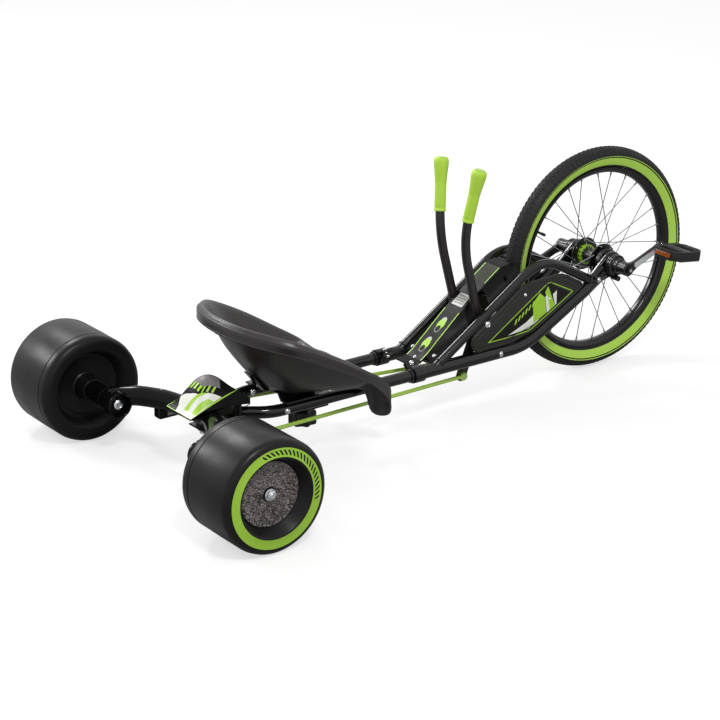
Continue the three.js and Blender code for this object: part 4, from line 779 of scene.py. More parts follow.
def side_frame(name, side):
    """The lower tube pressed flat at its front end, the loop above it, the end plate and the lever's tab."""
    y = side * FRAME_Y
    line = rounded_path([Vector((572, y, FRAME_Z)), at_y(KNEE, y), at_y(HUB - SLOPE * 27, y)], [40])

    def flattened(share, offset):
        press = min(1.0, max(0.0, (share - 0.88) / 0.1))
        wide = 1 + 0.22 * press
        return Vector((offset.x * wide, offset.y * (1 - 0.5 * press) - side * 4 * press, offset.z * wide))

    tube = swept(even(line, 9), 14.3, 32, flattened)
    line = rounded_path([at_y(LOOP_FOOT, y), at_y(LOOP_TOP, y), at_y(LOOP_END, y)], [65], 14)
    loop = swept(even(line, 12), 10.5, 28)
    heading = math.degrees(math.atan2(SLOPE.z, SLOPE.x))
    eye = arc(HUB.x, HUB.z, 27, heading - 100, 10, 21)
    neck = HUB - SLOPE * 54
    eye += [(neck.x - SLOPE.z * 15, neck.z + SLOPE.x * 15), (neck.x + SLOPE.z * 15, neck.z - SLOPE.x * 15)]
    end = flat_plate([eye, circle(HUB.x, HUB.z, 8.6)], 12, 2.5, in_xz(side * 56))
    tab = flat_plate([cushioned([(762, 176), (792, 176), (792, 214), (762, 204)], 8),
                      circle(PIVOT.x, PIVOT.z, BOLT_HOLE, 20)], 4, 0.8, in_xz(side * 61.4))
    mouth = turned([(12.9, 0), (14.9, 0), (15.2, 1), (15.2, 4), (14.6, 5), (12.9, 5)], 32)
    mouth = moved(mouth, facing((1, 0, 0), (571.8, y, FRAME_Z)))
    rise = (LOOP_TOP - LOOP_FOOT).normalized()
    fall = (LOOP_END - LOOP_TOP).normalized()
    welds = [weld(at_y(place, y), way, 10.6)
             for place, way in ((LOOP_FOOT + rise * 22, rise), (LOOP_END - fall * 19, fall))]
    finished("frame_tubes_" + name, together(tube, loop, end, tab, mouth, *welds), "frame", POWDER_COAT,
             ("front_frame_" + name,))


def inset(outline, distances):
    """An anticlockwise outline moved in from each of its sides."""
    count = len(outline)
    if not isinstance(distances, (list, tuple)):
        distances = [distances] * count
    lines = []
    for i in range(count):
        start, end = Vector(outline[i]), Vector(outline[(i + 1) % count])
        along = (end - start).normalized()
        lines.append((start + Vector((-along.y, along.x)) * distances[i], along))
    result = []
    for i in range(count):
        (p, d), (q, e) = lines[i - 1], lines[i]
        t = ((q.x - p.x) * e.y - (q.y - p.y) * e.x) / (d.x * e.y - d.y * e.x)
        result.append((p.x + d.x * t, p.y + d.y * t))
    return result


def inset_rounded(outline, distance):
    """A many-pointed rounded outline shrunk towards its inside, keeping its points."""
    count = len(outline)
    result = []
    for i in range(count):
        before, after = Vector(outline[i - 1]), Vector(outline[(i + 1) % count])
        along = (after - before).normalized()
        result.append(tuple(Vector(outline[i]) + Vector((-along.y, along.x)) * distance))
    return result


def cut_corners(outline, cuts):
    """An outline with each corner cut off by its own length."""
    result = []
    for i, cut in enumerate(cuts):
        corner = Vector(outline[i])
        for other in (outline[i - 1], outline[(i + 1) % len(outline)]):
            result.append(tuple(corner + (Vector(other) - corner).normalized() * cut))
    return result


PANEL_FRAME = [(corner.x, corner.z) for corner in (LOOP_FOOT, KNEE, LOOP_END, LOOP_TOP)]
PANEL_OUTLINE = cushioned(cut_corners(inset(PANEL_FRAME, [14.9, 14.9, 11.1, 11.1]), [62, 40, 14, 65]), 16)
PRINT_EDGE = [(778, 147), (839, 147), (895, 151), (968, 189), (1019, 218), (954, 251), (943, 251)]
PRINT_FIELD = [(792, 151), (838, 151), (893, 155), (966, 193), (1009, 217.5), (953, 246), (945, 246)]
PRINT_WHITE = [(835, 153), (893, 157), (921, 171.5), (916, 192), (884, 172)]
PRINT_BARS = (
    (LIME_VINYL, [(906, 166), (942, 183), (937, 219), (922, 232), (903, 212)]),
    (BLACK_VINYL, [(924, 174), (929, 176.6), (923, 217), (917, 218)]),
    (WHITE_VINYL, [(943, 183), (952, 188), (944, 224), (938, 221)]),
    (LIME_VINYL, [(953, 188), (966, 195), (945, 243), (937, 231)]),
    (WHITE_VINYL, [(966, 196), (970, 198), (970, 229), (959, 222)]),
)
HATCH_MARK = ((852, 172), (857, 175.2), (860.5, 187), (855.5, 183.8))
PRINT_HATCH = [[(x + 9.5 * i, z + 6.2 * i) for x, z in HATCH_MARK] for i in range(7)]
PRINT_EASE = 0.08  # how far a print's edges are rounded


def side_panel(name, side):
    """A plate with two raised lines round it, its prints and its screws."""
    plate = flat_plate([PANEL_OUTLINE], 4, 1.2, in_xz(side * PANEL_Y))
    beads = []
    for inward, sunk, size in ((5, 0.4, 1.9), (15, 0.1, 1.0)):
        line = [Vector((x, side * (PANEL_FACE - sunk), z)) for x, z in inset_rounded(PANEL_OUTLINE, inward)]
        beads.append(swept(even(line + [line[0]], 14), size, 10))
    finished("moulded_side_panel_" + name, together(plate, *beads), "frame", MOULDED_PANEL,
             ("side_panel_" + name,))
    face = in_xz(side * (PANEL_FACE + 0.1))
    outline = flat_plate([cushioned(PRINT_EDGE, 5), cushioned(inset(PRINT_EDGE, 2.0), 4)], 0.5, 0.1, face)
    finished("print_outline_" + name, outline, "frame", LIME_VINYL)
    field = flat_plate([PRINT_FIELD], 0.34, 0.06, face)
    finished("print_field_" + name, field, "frame", BLACK_VINYL)
    for finish, label in ((LIME_VINYL, "lime"), (WHITE_VINYL, "white"), (BLACK_VINYL, "black")):
        bars = [flat_plate([bar], 0.56 if i % 2 else 0.62, PRINT_EASE, face)
                for i, (kind, bar) in enumerate(PRINT_BARS) if kind is finish]
        if label == "lime":
            bars += [flat_plate([bar], 0.5, PRINT_EASE, face) for bar in PRINT_HATCH]
        elif label == "white":
            bars.append(flat_plate([PRINT_WHITE], 0.5, PRINT_EASE, face))
        finished("print_%s_%s" % (label, name), together(*bars), "frame", finish)
    screws = [dome_bolt((x, side * y, z), (0, side, 0), *sizes) for x, y, z, sizes in
              ((881, PANEL_FACE, 236, (4.2, 2.2, 5.5)), (951, PANEL_FACE, 213, (2.6, 1.6)),
               (812, 77.6, FRAME_Z, (5, 2.4, 6.5)), (1093, PANEL_FACE, 228, (4.2, 2.4, 6)))]
    finished("panel_screws_" + name, together(*screws), "frame", BRIGHT_PLATE)


# Top cover

COVER_LOW_X, COVER_HIGH_X, COVER_LOW_TOP = 608, 885, 121
COVER_HALF, RIDGE_HALF, RIDGE_RISE = 49, 25.5, 38
COVER_LENGTH = COVER_HIGH_X - COVER_LOW_X
RIDGE_SHARES = ((0.087, 0), (0.16, 0.3), (0.45, 0.75), (0.71, 0.97), (0.87, 1), (1, 0.55))
COVER_BEND_X = COVER_LOW_X + COVER_LENGTH * 0.16
COVER_BEND_TOP = FRAME_Z + LOOP_RISE * (COVER_BEND_X - LOOP_FOOT.x) - 1
RIDGE_FOOT_X = 632.1  # where the ridge begins
# Prints lie a fraction of a millimetre above the plastic, each over the one that it covers.
UNDER_LIFT, FILM_LIFT, LINE_LIFT, MARK_LIFT, OVER_LIFT, TOP_LIFT = 0.25, 0.3, 0.35, 0.36, 0.5, 0.66


def sheet_top(x):
    share = (x - COVER_LOW_X) / (COVER_BEND_X - COVER_LOW_X)
    if share < 1:
        return COVER_LOW_TOP + (COVER_BEND_TOP - COVER_LOW_TOP) * share
    return COVER_BEND_TOP + LOOP_RISE * (x - COVER_BEND_X)


def ridge_height(x):
    share = (x - COVER_LOW_X) / COVER_LENGTH
    for (s0, h0), (s1, h1) in zip(RIDGE_SHARES, RIDGE_SHARES[1:]):
        if s0 <= share <= s1:
            return RIDGE_RISE * (h0 + (h1 - h0) * (share - s0) / (s1 - s0))
    return 0.0 if share < RIDGE_SHARES[0][0] else RIDGE_RISE * RIDGE_SHARES[-1][1]


def cover_top(x, y):
    """Height of the cover's upper face: sheet, ridge and the hollow shoulders between ridge and tubes."""
    fall = min(1.0, max(0.0, (abs(y) - RIDGE_HALF) / (COVER_HALF - 1 - RIDGE_HALF)))
    dish = math.sin(math.pi * fall) * 0.16
    return sheet_top(x) + ridge_height(x) * max(0.0, 1 - fall - dish)


def shell_from(height, xs, ys, wall):
    """A sheet of even thickness under a height taken over a net of places."""
    bm = bmesh.new()
    layers = []
    for drop in (0.0, wall):
        layers.append([[bm.verts.new((x, y, height(x, y) - drop)) for y in ys] for x in xs])
    for k, layer in enumerate(layers):
        for i in range(len(xs) - 1):
            for j in range(len(ys) - 1):
                face = [layer[i][j], layer[i + 1][j], layer[i + 1][j + 1], layer[i][j + 1]]
                bm.faces.new(face if k == 0 else face[::-1])
    top, low = layers
    far, wide = len(xs) - 1, len(ys) - 1
    edge = ([(i, 0) for i in range(far + 1)] + [(far, j) for j in range(1, wide + 1)]
            + [(i, wide) for i in range(far - 1, -1, -1)] + [(0, j) for j in range(wide - 1, 0, -1)])
    for (a, b), (c, d) in zip(edge, edge[1:] + edge[:1]):
        bm.faces.new((top[a][b], top[c][d], low[c][d], low[a][b]))
    bmesh.ops.recalc_face_normals(bm, faces=bm.faces)
    return new_mesh(bm)


def carved(mesh, cutters):
    """A mesh with closed cutters taken out of it."""
    holder = new_object("carved", mesh)
    tools = [new_object("cutter", cutter) for cutter in cutters]
    for tool in tools:
        modifier = holder.modifiers.new("cut", "BOOLEAN")
        modifier.operation = "DIFFERENCE"
        modifier.solver = "EXACT"
        modifier.object = tool
    result = evaluated(holder)
    for thing in [holder] + tools:
        bpy.data.objects.remove(thing)
    return result


def spread(start, end, count):
    return [start + (end - start) * i / (count - 1) for i in range(count)]


def film(height, xs, ys, lift):
    """A thin print lying on a height."""
    bm = bmesh.new()
    rows = [[bm.verts.new((x, y, height(x, y) + lift)) for y in ys] for x in xs]
    for one, two in zip(rows, rows[1:]):
        for j in range(len(ys) - 1):
            bm.faces.new((one[j], two[j], two[j + 1], one[j + 1]))
    return new_mesh(bm)


def patch(height, a, b, c, d, along, over, lift=0.4):
    """A thin print between four corners in X and Y, lying on a height."""
    bm = bmesh.new()
    rows = []
    for i in range(along + 1):
        start, end = Vector(a).lerp(Vector(b), i / along), Vector(d).lerp(Vector(c), i / along)
        places = [start.lerp(end, j / over) for j in range(over + 1)]
        rows.append([bm.verts.new((q.x, q.y, height(q.x, q.y) + lift)) for q in places])
    for one, two in zip(rows, rows[1:]):
        for j in range(over):
            bm.faces.new((one[j], two[j], two[j + 1], one[j + 1]))
    bmesh.ops.recalc_face_normals(bm, faces=bm.faces)
    if sum(f.normal.z for f in bm.faces) < 0:
        bmesh.ops.reverse_faces(bm, faces=bm.faces)
    return new_mesh(bm)


def round_patch(height, x, y, radius, lift):
    """A thin round print lying on a height."""
    bm = bmesh.new()
    middle = bm.verts.new((x, y, height(x, y) + lift))
    rings = []
    for share in (0.4, 0.75, 1.0):
        rings.append([bm.verts.new((u, v, height(u, v) + lift)) for u, v in circle(x, y, radius * share)])
    for i in range(32):
        j = (i + 1) % 32
        bm.faces.new((middle, rings[0][i], rings[0][j]))
        for one, two in zip(rings, rings[1:]):
            bm.faces.new((one[i], two[i], two[j], one[j]))
    return new_mesh(bm)


def shear_along_loop():
    """Slants a level plate so that it runs along the sloping tubes."""
    return Matrix(((1, 0, 0, 0), (0, 1, 0, 0), (LOOP_RISE, 0, 1, -LOOP_RISE * PIVOT.x), (0, 0, 0, 1)))


def cover_shell():
    """The folded sheet with its ridge, slots for the levers, screw holes and cut corners."""
    inner = RIDGE_HALF - 2
    ys = sorted(set(spread(-COVER_HALF, COVER_HALF, 36) + [RIDGE_HALF, -RIDGE_HALF, inner, -inner]))
    xs = sorted(set(spread(COVER_LOW_X, COVER_HIGH_X, 60) + [COVER_BEND_X, RIDGE_FOOT_X]))
    notch = flat_plate([cushioned([(872, -32), (900, -32), (900, 32), (872, 32)], 6)], 300, 0.5, in_xy(250))
    slots, holes, corners = [], [], []
    for s in (1, -1):
        slot = cushioned([(746, 25.5 * s), (801, 25.5 * s), (801, 62 * s), (746, 62 * s)], 11)
        slots.append(flat_plate([slot], 220, 0.5, in_xy(250)))
        holes.append(moved(turned([(0, -30), (3.6, -30), (3.6, 30), (0, 30)], 20, False),
                           facing((0, 0, 1), (852, 37 * s, cover_top(852, 37)))))
        corner = cushioned([(590, 27 * s), (648, 27 * s), (642, 70 * s), (590, 70 * s)], 6)
        corners.append(flat_plate([corner], 220, 0.5, in_xy(200)))
    return carved(shell_from(cover_top, xs, ys, 3.4), slots + [notch] + holes + corners)


def top_cover():
    finished("moulded_top_cover", cover_shell(), "frame", MOULDED_COVER, ("top_cover",))
    wall = [(743, 24), (804, 24), (804, 35), (800.5, 35), (800.5, 26.8), (746.5, 26.8), (746.5, 35),
            (743, 35)]
    pockets = [flat_plate([cushioned([(x, y * s) for x, y in wall], 3)], 16, 0.4,
                          Matrix.Translation((0, 0, 186)) @ shear_along_loop()) for s in (1, -1)]
    finished("slot_walls", together(*pockets), "frame", MOULDED_COVER)
    lines = [film(cover_top, spread(634, 737, 30), spread(s * 22.4, s * 25, 3), LINE_LIFT) for s in (1, -1)]
    lines += [film(cover_top, spread(806, 846, 14), spread(s * 21.8, s * 24, 3), LINE_LIFT) for s in (1, -1)]
    strip = film(cover_top, spread(805, 847, 12), spread(-21.4, 21.4, 9), FILM_LIFT)
    base = film(cover_top, spread(636, 734, 24), spread(-21.6, 21.6, 9), UNDER_LIFT)
    silver = [round_patch(cover_top, x + 6.5, 0, 8, MARK_LIFT) for x in (666, 707)]
    silver.append(patch(cover_top, (748, 17.5), (748, -17.5), (774, -17.5), (774, 17.5), 8, 8, MARK_LIFT))
    grey = [round_patch(cover_top, x - 8, 0, 9, MARK_LIFT) for x in (666, 707)]
    grey += [patch(cover_top, (x, 14), (x, -14), (x + 1.6, -14), (x + 1.6, 14), 8, 2, OVER_LIFT)
             for x in (753, 758, 763, 768)]
    lime = [round_patch(cover_top, x, 0, 10.5, OVER_LIFT) for x in (666, 707)]
    dark = [round_patch(cover_top, x - 9, 0, 6, TOP_LIFT) for x in (666, 707)]
    for label, finish, shapes in (("lime_lines", LIME_VINYL, lines), ("woven_strip", WOVEN_FILM, [strip]),
                                  ("black_strip", BLACK_VINYL, [base]), ("grey_prints", GREY_VINYL, grey),
                                  ("silver_prints", SILVER_VINYL, silver), ("lime_prints", LIME_VINYL, lime),
                                  ("dark_prints", BLACK_VINYL, dark)):
        finished("cover_" + label, together(*shapes), "frame", finish)
    screws = [dome_bolt((660, 37 * s, cover_top(660, 37) + 0.3), (-0.5, 0, 1), 4, 2.4, 5.2) for s in (1, -1)]
    screws.append(dome_bolt((637, 0, cover_top(637, 0) + 0.4), (-0.5, 0, 1), 3.6, 2.2, 4.6))
    finished("cover_screws", together(*screws), "frame", BRIGHT_PLATE)


for NAME, SIDE in SIDES:
    side_frame(NAME, SIDE)
    side_panel(NAME, SIDE)
top_cover()


# Hardware of the front frame

def clamp(name, side):
    """The collar's ears tilt up towards the middle; its bolt stands square to them."""
    finished("clamp_collar_shape_" + name, softened("clamp_collar_" + name, 1.1), "frame", POWDER_COAT,
             ("clamp_collar_" + name,))
    tilt = 0.62
    up = Vector((0, side * math.sin(tilt), math.cos(tilt)))
    inward = Vector((0, -side * math.cos(tilt), math.sin(tilt)))
    middle = Vector((593, side * FRAME_Y, FRAME_Z)) + inward * 25.7
    shank = rod(middle - up * 7, middle + up * 7, 3, 16)
    head = dome_bolt(middle + up * 6.8, up, 5.5, 4, 5.9)
    nut = hex_nut(middle - up * 6.8, -up, 5.2, 3.2, 3, 0.6)
    finished("clamp_screw_" + name, together(shank, head, nut), "frame", BRIGHT_PLATE,
             ("clamp_bolt_" + name,))


def lever_bolt(name, side):
    """Dome head outside the panel, shoulder up to the lever and a nut inside."""
    shank = rod((PIVOT.x, side * 34, PIVOT.z), (PIVOT.x, side * 72, PIVOT.z), 4, 20)
    shoulder = rod((PIVOT.x, side * 43.3, PIVOT.z), (PIVOT.x, side * 59, PIVOT.z), 7, 32)
    head = dome_bolt((PIVOT.x, side * 71.4, PIVOT.z), (0, side, 0), 8, 4.9, 8)
    nut = hex_nut((PIVOT.x, side * 37.6, PIVOT.z), (0, -side, 0), 6.1, 4.6, 4, 0.3)
    finished("lever_pivot_bolt_" + name, together(shank, shoulder, head, nut), "frame", BRIGHT_PLATE,
             ("lever_bolt_" + name,))


def cross_members():
    tube = rod((664, -49.2, FRAME_Z), (664, 49.2, FRAME_Z), 8, 28)
    beads = [weld((664, s * 47.5, FRAME_Z), (0, 1, 0), 7.6, 1.8) for s in (1, -1)]
    finished("round_cross_tube", together(tube, *beads), "frame", POWDER_COAT, ("front_cross_tube",))
    finished("pressed_cross_plate", softened("front_cross_plate", 1.4), "frame", POWDER_COAT,
             ("front_cross_plate",))


def rails_and_yoke():
    for name, side in SIDES:
        corners = [Vector((x, side * y, FRAME_Z)) for x, y in ((640, FRAME_Y), (224, FRAME_Y), (165, 18))]
        full = swept(even(rounded_path(corners, [30], 16), 8), 12.7, 32)
        trim = flat_plate([[(120, -90), (172.6, -90), (172.6, 90), (120, 90)]], 80, 0.01, in_xy(FRAME_Z))
        rail = carved(full, [trim])
        end = Vector((174.4, side * 25.3, FRAME_Z))
        seam = weld(end, (59, side * 46, 0), 11.2, 1.7)
        finished("swept_rail_" + name, together(rail, seam), "frame", POWDER_COAT, ("rear_rail_" + name,))
        bolt = together(rod((256, side * 47, FRAME_Z), (256, side * 81, FRAME_Z), 3, 16),
                        dome_bolt((256, side * 77.2, FRAME_Z), (0, side, 0), 6.2, 4.3, 6.5),
                        hex_nut((256, side * 50.8, FRAME_Z), (0, -side, 0), 5.8, 4.2, 3, 0.3))
        finished("seat_stop_screw_" + name, bolt, "frame", BRIGHT_PLATE, ("seat_stop_" + name,))
    finished("folded_yoke", softened("rear_yoke", 1.5), "frame", POWDER_COAT, ("rear_yoke",))
    pin = together(rod((KINGPIN_X, 0, 80.2), (KINGPIN_X, 0, 162), 8, 32),
                   hex_nut((KINGPIN_X, 0, 88.2), (0, 0, -1), 10.6, 7.9),
                   hex_nut((KINGPIN_X, 0, 148.8), (0, 0, 1), 10.6, 9.8, 8, 2.9))
    finished("kingpin_with_nut", pin, "frame", BRIGHT_PLATE, ("kingpin",))


# Pivot cover

HOOD_HALF, HOOD_CREST_X, HOOD_SWELL = 46, 105, 42
HOOD_REAR_X, HOOD_REAR_Z, HOOD_BEND_X, HOOD_BEND_Z, HOOD_NOSE_X = 45, 137, 157, 175, 187.4


def hood_plane(x):
    """The flat sheet under the swelling, rising from its rear edge to the bend and falling to the nose."""
    if x > HOOD_BEND_X:
        return HOOD_BEND_Z - (x - HOOD_BEND_X) * 0.8
    return HOOD_REAR_Z + (x - HOOD_REAR_X) * (HOOD_BEND_Z - HOOD_REAR_Z) / (HOOD_BEND_X - HOOD_REAR_X)


def hood_top(x, y):
    """The tilted hood, flat along its rear edge, swelling to a crest and falling to the nose."""
    reach = (HOOD_CREST_X - x) / 46 if x < HOOD_CREST_X else (x - HOOD_CREST_X) / 52
    along = max(0.0, 1 - reach * reach)
    over = max(0.0, 1 - (abs(y) / HOOD_HALF) ** 2.2)
    return hood_plane(x) + HOOD_SWELL * along * over


def hood_side(side):
    """One skirt of the hood, open at the rear where the axle passes."""
    outline = [(45.4, 135.2), (45.4, 136), (157, 173.6), (HOOD_NOSE_X, 150.4), (HOOD_NOSE_X, 137.4),
               (143, 126.6), (141, 144.6), (68, 144.6)]
    return flat_plate([cushioned(outline, 1.2, 3)], 2.5, 0.6, in_xz(side * (HOOD_HALF - 1.6)))


def hood_marks():
    """Slanting dashes along the two pale bands, each from its low edge to its high one."""
    bands = ((((81, 31), (92, 27), (92, -18), (83, -22)), (0.12, 0.34, 0.56, 0.78)),
             (((83, -22), (92, -18), (124, -34), (115, -40)), (0.03, 0.32, 0.6)))
    marks = []
    for band, shares in bands:
        low_start, high_start, high_end, low_end = (Vector(p) for p in band)
        step = (low_end - low_start) * 0.11
        for share in shares:
            low = low_start.lerp(low_end, share + 0.02)
            high = high_start.lerp(high_end, share + 0.08)
            marks.append((tuple(low), tuple(high), tuple(high + step), tuple(low + step)))
    return marks


def pivot_hood():
    xs = sorted(set(spread(45.4, HOOD_NOSE_X, 72) + [HOOD_BEND_X]))
    ys = spread(-HOOD_HALF + 0.3, HOOD_HALF - 0.3, 56)
    hole = turned([(0, -30), (4, -30), (4, 30), (0, 30)], 20, False)
    hole = moved(hole, facing((0, 0, 1), (103.7, -1.2, 196)))
    shell = carved(shell_from(hood_top, xs, ys, 2.5), [hole])
    nose = cushioned([(-45, 137.4), (45, 137.4), (45, 149.6), (-45, 149.6)], 3)
    nose = flat_plate([nose], 2.5, 0.8, in_yz(186.2))
    posts = [rod((150, 20 * s, 149.2), (150, 20 * s, hood_plane(150) - 1.5), 3.5, 20) for s in (1, -1)]
    finished("moulded_pivot_hood", together(shell, hood_side(1), hood_side(-1), nose, *posts), "frame",
             MOULDED_COVER, ("pivot_cover",))
    half = HOOD_HALF - 0.6
    edges = []
    for y, edge in ((half - 1.4, half), (1.4 - half, -half)):
        edges.append(patch(hood_top, (46, y), (157, y), (157, edge), (46, edge), 60, 3))
    for rear, front in ((45.8, 47.6), (155.6, 157)):
        edges.append(patch(hood_top, (rear, half), (rear, -half), (front, -half), (front, half), 40, 3))
    finished("hood_edge_lines", together(*edges), "frame", LIME_VINYL)
    white = [((46.6, 11.8), (71.5, 30.5), (75, 0), (46.6, -15)),
             ((46.6, -15), (75, 0), (82, -24), (46.6, -32)),
             ((46.6, -32), (82, -24), (121, -43.6), (46.6, -44.4))]
    grey = [((92, 27), (104, 16), (121, 0), (92, -18)), ((92, -18), (121, 0), (134, -16), (124, -34))]
    bars = [((52.9, 3.7), (82, -21), (99, -34), (60, -15)),
            ((59, -29), (94, -38), (102, -43.6), (57.4, -42.4))]
    prints = (("white", WHITE_VINYL, 0.45, white), ("grey", GREY_VINYL, 0.45, grey),
              ("lime", LIME_VINYL, 0.7, bars + hood_marks()))
    for label, finish, lift, patches in prints:
        shapes = [patch(hood_top, *corners, 40, 40, lift) for corners in patches]
        finished("hood_%s_print" % label, together(*shapes), "frame", finish)


# Steering axle and rear wheels

# The bow's middle line, as shares of how far it stands forward, of its half width and of the wheels' radius
AXLE_PATH = ((0.98, 0, 1.04), (0.95, 0.235, 1.06), (0.715, 0.61, 1.12), (0.57, 0.785, 1.13),
             (0.343, 1.007, 1.13), (0.076, 1.31, 1.05))
AXLE_FORWARD, AXLE_HALF = 105, 149
DISH = 28  # how deep the rear wheels are dished

STUB_PROFILE = [(0, 161.2), (23, 161.2), (23, 150), (24, 149.2), (26.6, 149.2), (27.5, 150.2), (27.5, 166),
                (26.4, 168), (20.9, 169.4), (20.9, 259.3), (20, 260.2), (0, 260.2)]
BUSH_PROFILE = [(8.3, 0), (15.5, 0), (16, 0.5), (16, 1.7), (15.5, 2.2), (10.6, 2.2), (10.6, 13.4), (10, 14),
                (8.3, 14)]


def steering_axle():
    """The bowed tube with its wheel stubs, the sleeve round the kingpin and the brackets for the tie rods."""
    left = [Vector((x * AXLE_FORWARD, y * AXLE_HALF, z * REAR_RADIUS)) for x, y, z in AXLE_PATH]
    right = [Vector((p.x, -p.y, p.z)) for p in left]
    bow = swept(smooth_line(left[::-1] + right[1:], 10), 20.9, 40)
    parts, bores, bolts = [], [], []
    for s in (1, -1):
        stub = on_side(turned(STUB_PROFILE, 40, False), s)
        parts.append(moved(stub, Matrix.Translation((0, 0, REAR_RADIUS))))
        bore = turned([(0, -140), (23.2, -140), (23.2, -161), (0, -161)], 40, False)
        half_turn = Matrix.Rotation(math.pi if s > 0 else 0, 4, "Z")
        bores.append(moved(bore, Matrix.Translation((0, 0, REAR_RADIUS)) @ half_turn))
        plate = cushioned([(58.6, 93.4), (121.6, 93.4), (121.6, 116.6), (58.6, 116.6)], 5)
        if s < 0:
            plate = [(x, -y) for x, y in plate][::-1]
        hole = circle(BRACKET_X, BRACKET_Y * s, BOLT_HOLE, 20)
        parts.append(flat_plate([plate, hole], 4, 0.8, in_xy(90.7)))
        web = [(58.6, 89.2), (77.6, 89.2), (77.6, 113.2), (58.6, 113.2)]
        parts.append(flat_plate([web], 23, 0.8, in_xz(BRACKET_Y * s)))
        parts.append(weld((0, s * 204, REAR_RADIUS), (0, 1, 0), 20.2, 1.2))
        bolts.append(dome_bolt((68, s * 104, 147.4), (-0.25, 0, 0.97), 4.6, 2.6, 6))
    sleeve = turned([(10.9, -25.3), (17, -25.3), (17, 23.1), (10.9, 23.1)], 40)
    parts.append(moved(sleeve, facing((0, 0, 1), (KINGPIN_X, 0, 117.6))))
    # The axle takes the shaded copy of the frame's coat: painted shade.
    finished("bowed_axle", together(carved(bow, bores), *parts), "axle", AXLE_COAT_PAINTED_SHADE, ("axle_tube",))
    finished("axle_screws", together(*bolts), "axle", BRIGHT_PLATE)
    for which, z, way in (("lower", 92.8, 1), ("upper", 144.2, -1)):
        bush = moved(turned(BUSH_PROFILE, 40), facing((0, 0, way), (KINGPIN_X, 0, z)))
        finished("flanged_bush_" + which, bush, "axle", FILLED_NYLON, ("kingpin_bush_" + which,))


def wheel_profile():
    """The slick's section: distances from the axis and from the wheel's middle, the inner side first."""
    half, r = REAR_WIDTH / 2, REAR_RADIUS
    inner = [(7, 1), (21, 1), (22, 2), (26.5, 32), (29, 34), (58, 34), (60, 33), (62, 31), (66, 30), (70, 28),
             (82.6, 2), (85, 0.2), (98, 0), (104, 1.4), (109, 4.2), (112.4, 8.5), (r - 0.2, 15),
             (r - 0.3, 26), (r - 1.4, 27), (r - 1.4, 28.5), (r - 0.3, 29.5)]
    outer = [(r - 0.2, 15), (112.4, 8.5), (109, 4.2), (104, 1.2), (100.4, 0.2), (99.6, 0.7), (82, 0.7),
             (81, 0.2), (79, 0.6), (77.2, 2), (66.8, DISH - 1.2), (65.6, DISH), (14.6, DISH),
             (14.2, DISH + 0.6), (14.2, DISH + 4), (7, DISH + 4)]
    return [(radius, depth - half) for radius, depth in inner] + [(r, 0)] + \
        [(radius, half - depth) for radius, depth in outer]


def rear_wheel(name, side):
    """A moulded slick with rounded shoulders, a dish on each face and a printed disc."""
    floor = REAR_WIDTH / 2 - DISH
    turn = Matrix.Translation((0, side * REAR_HUB_Y, REAR_RADIUS)) @ \
        Matrix.Rotation(0 if side > 0 else math.pi, 4, "Z")
    body = "rear_wheel_" + name
    finished("slick_wheel_" + name, moved(turned(wheel_profile(), 144), turn), body, SLICK_WHEEL,
             ("rear_wheel_" + name,), 32)
    plate = ((14.5, 0.3), (15, 0), (64.2, 0), (64.8, 0.4), (64.8, 1.9), (64, 2.5), (60, 2.2), (17, 2.2),
             (15.3, 2.5), (14.5, 2))
    disc = turned([(radius, floor + 0.3 + up) for radius, up in plate], 96)
    finished("disc_plate_" + name, moved(disc, turn), body, PRINTED_DISC, ("wheel_disc_" + name,))
    head_in = 153.4 - REAR_HUB_Y
    bolt = together(rod((0, head_in + 2, 0), (0, floor + 12, 0), 6.35, 28),
                    dome_bolt((0, head_in + 7.6, 0), (0, -1, 0), 13.4, 8),
                    hex_nut((0, floor + 4, 0), (0, 1, 0), 10.7, 8, 6.3, 1.5),
                    rod((0, floor - 4, 0), (0, floor + 4.4, 0), 8.4, 28))
    finished("wheel_bolt_and_nut_" + name, moved(bolt, turn), body, BRIGHT_PLATE, ("wheel_bolt_" + name,))


# Front wheel

def at_hub(mesh):
    return moved(mesh, Matrix.Translation(HUB))


def front_tyre():
    crown = FRONT_RADIUS - 26
    side_line = [(209.2, 11.6), (212, 13.6), (218, 16.6), (224, 19), (230, 21), (234, 22.2)]
    carcass = [(radius, -along) for radius, along in side_line] + arc(crown, 0, 24, -72, 6, 25)
    casing = turned(carcass + side_line[::-1], 176)
    blocks = []
    for rows, span, length, width, height, slant in (
            (3, 0.5, 9.6, 4.3, 0.9, 0.35), (2, 1.06, 9.4, 4.6, 0.9, -0.4), (2, 1.52, 9.0, 4.8, 0.9, 0.35),
            (2, 1.98, 8.6, 4.8, 0.8, -0.3), (2, 2.4, 6.8, 4.0, 0.6, 0.0)):
        blocks.append(grown(TREAD, {"Ring radius": float(crown), "Section radius": 24 + height, "Span": span,
                                    "Length": length, "Width": width, "Height": height + 1.4, "Slant": slant,
                                    "Rows": rows, "Blocks round": 124}))
    finished("tyre_casing_and_tread", at_hub(together(casing, *blocks)), "front_wheel", TYRE_RUBBER,
             ("front_tyre",), 30)


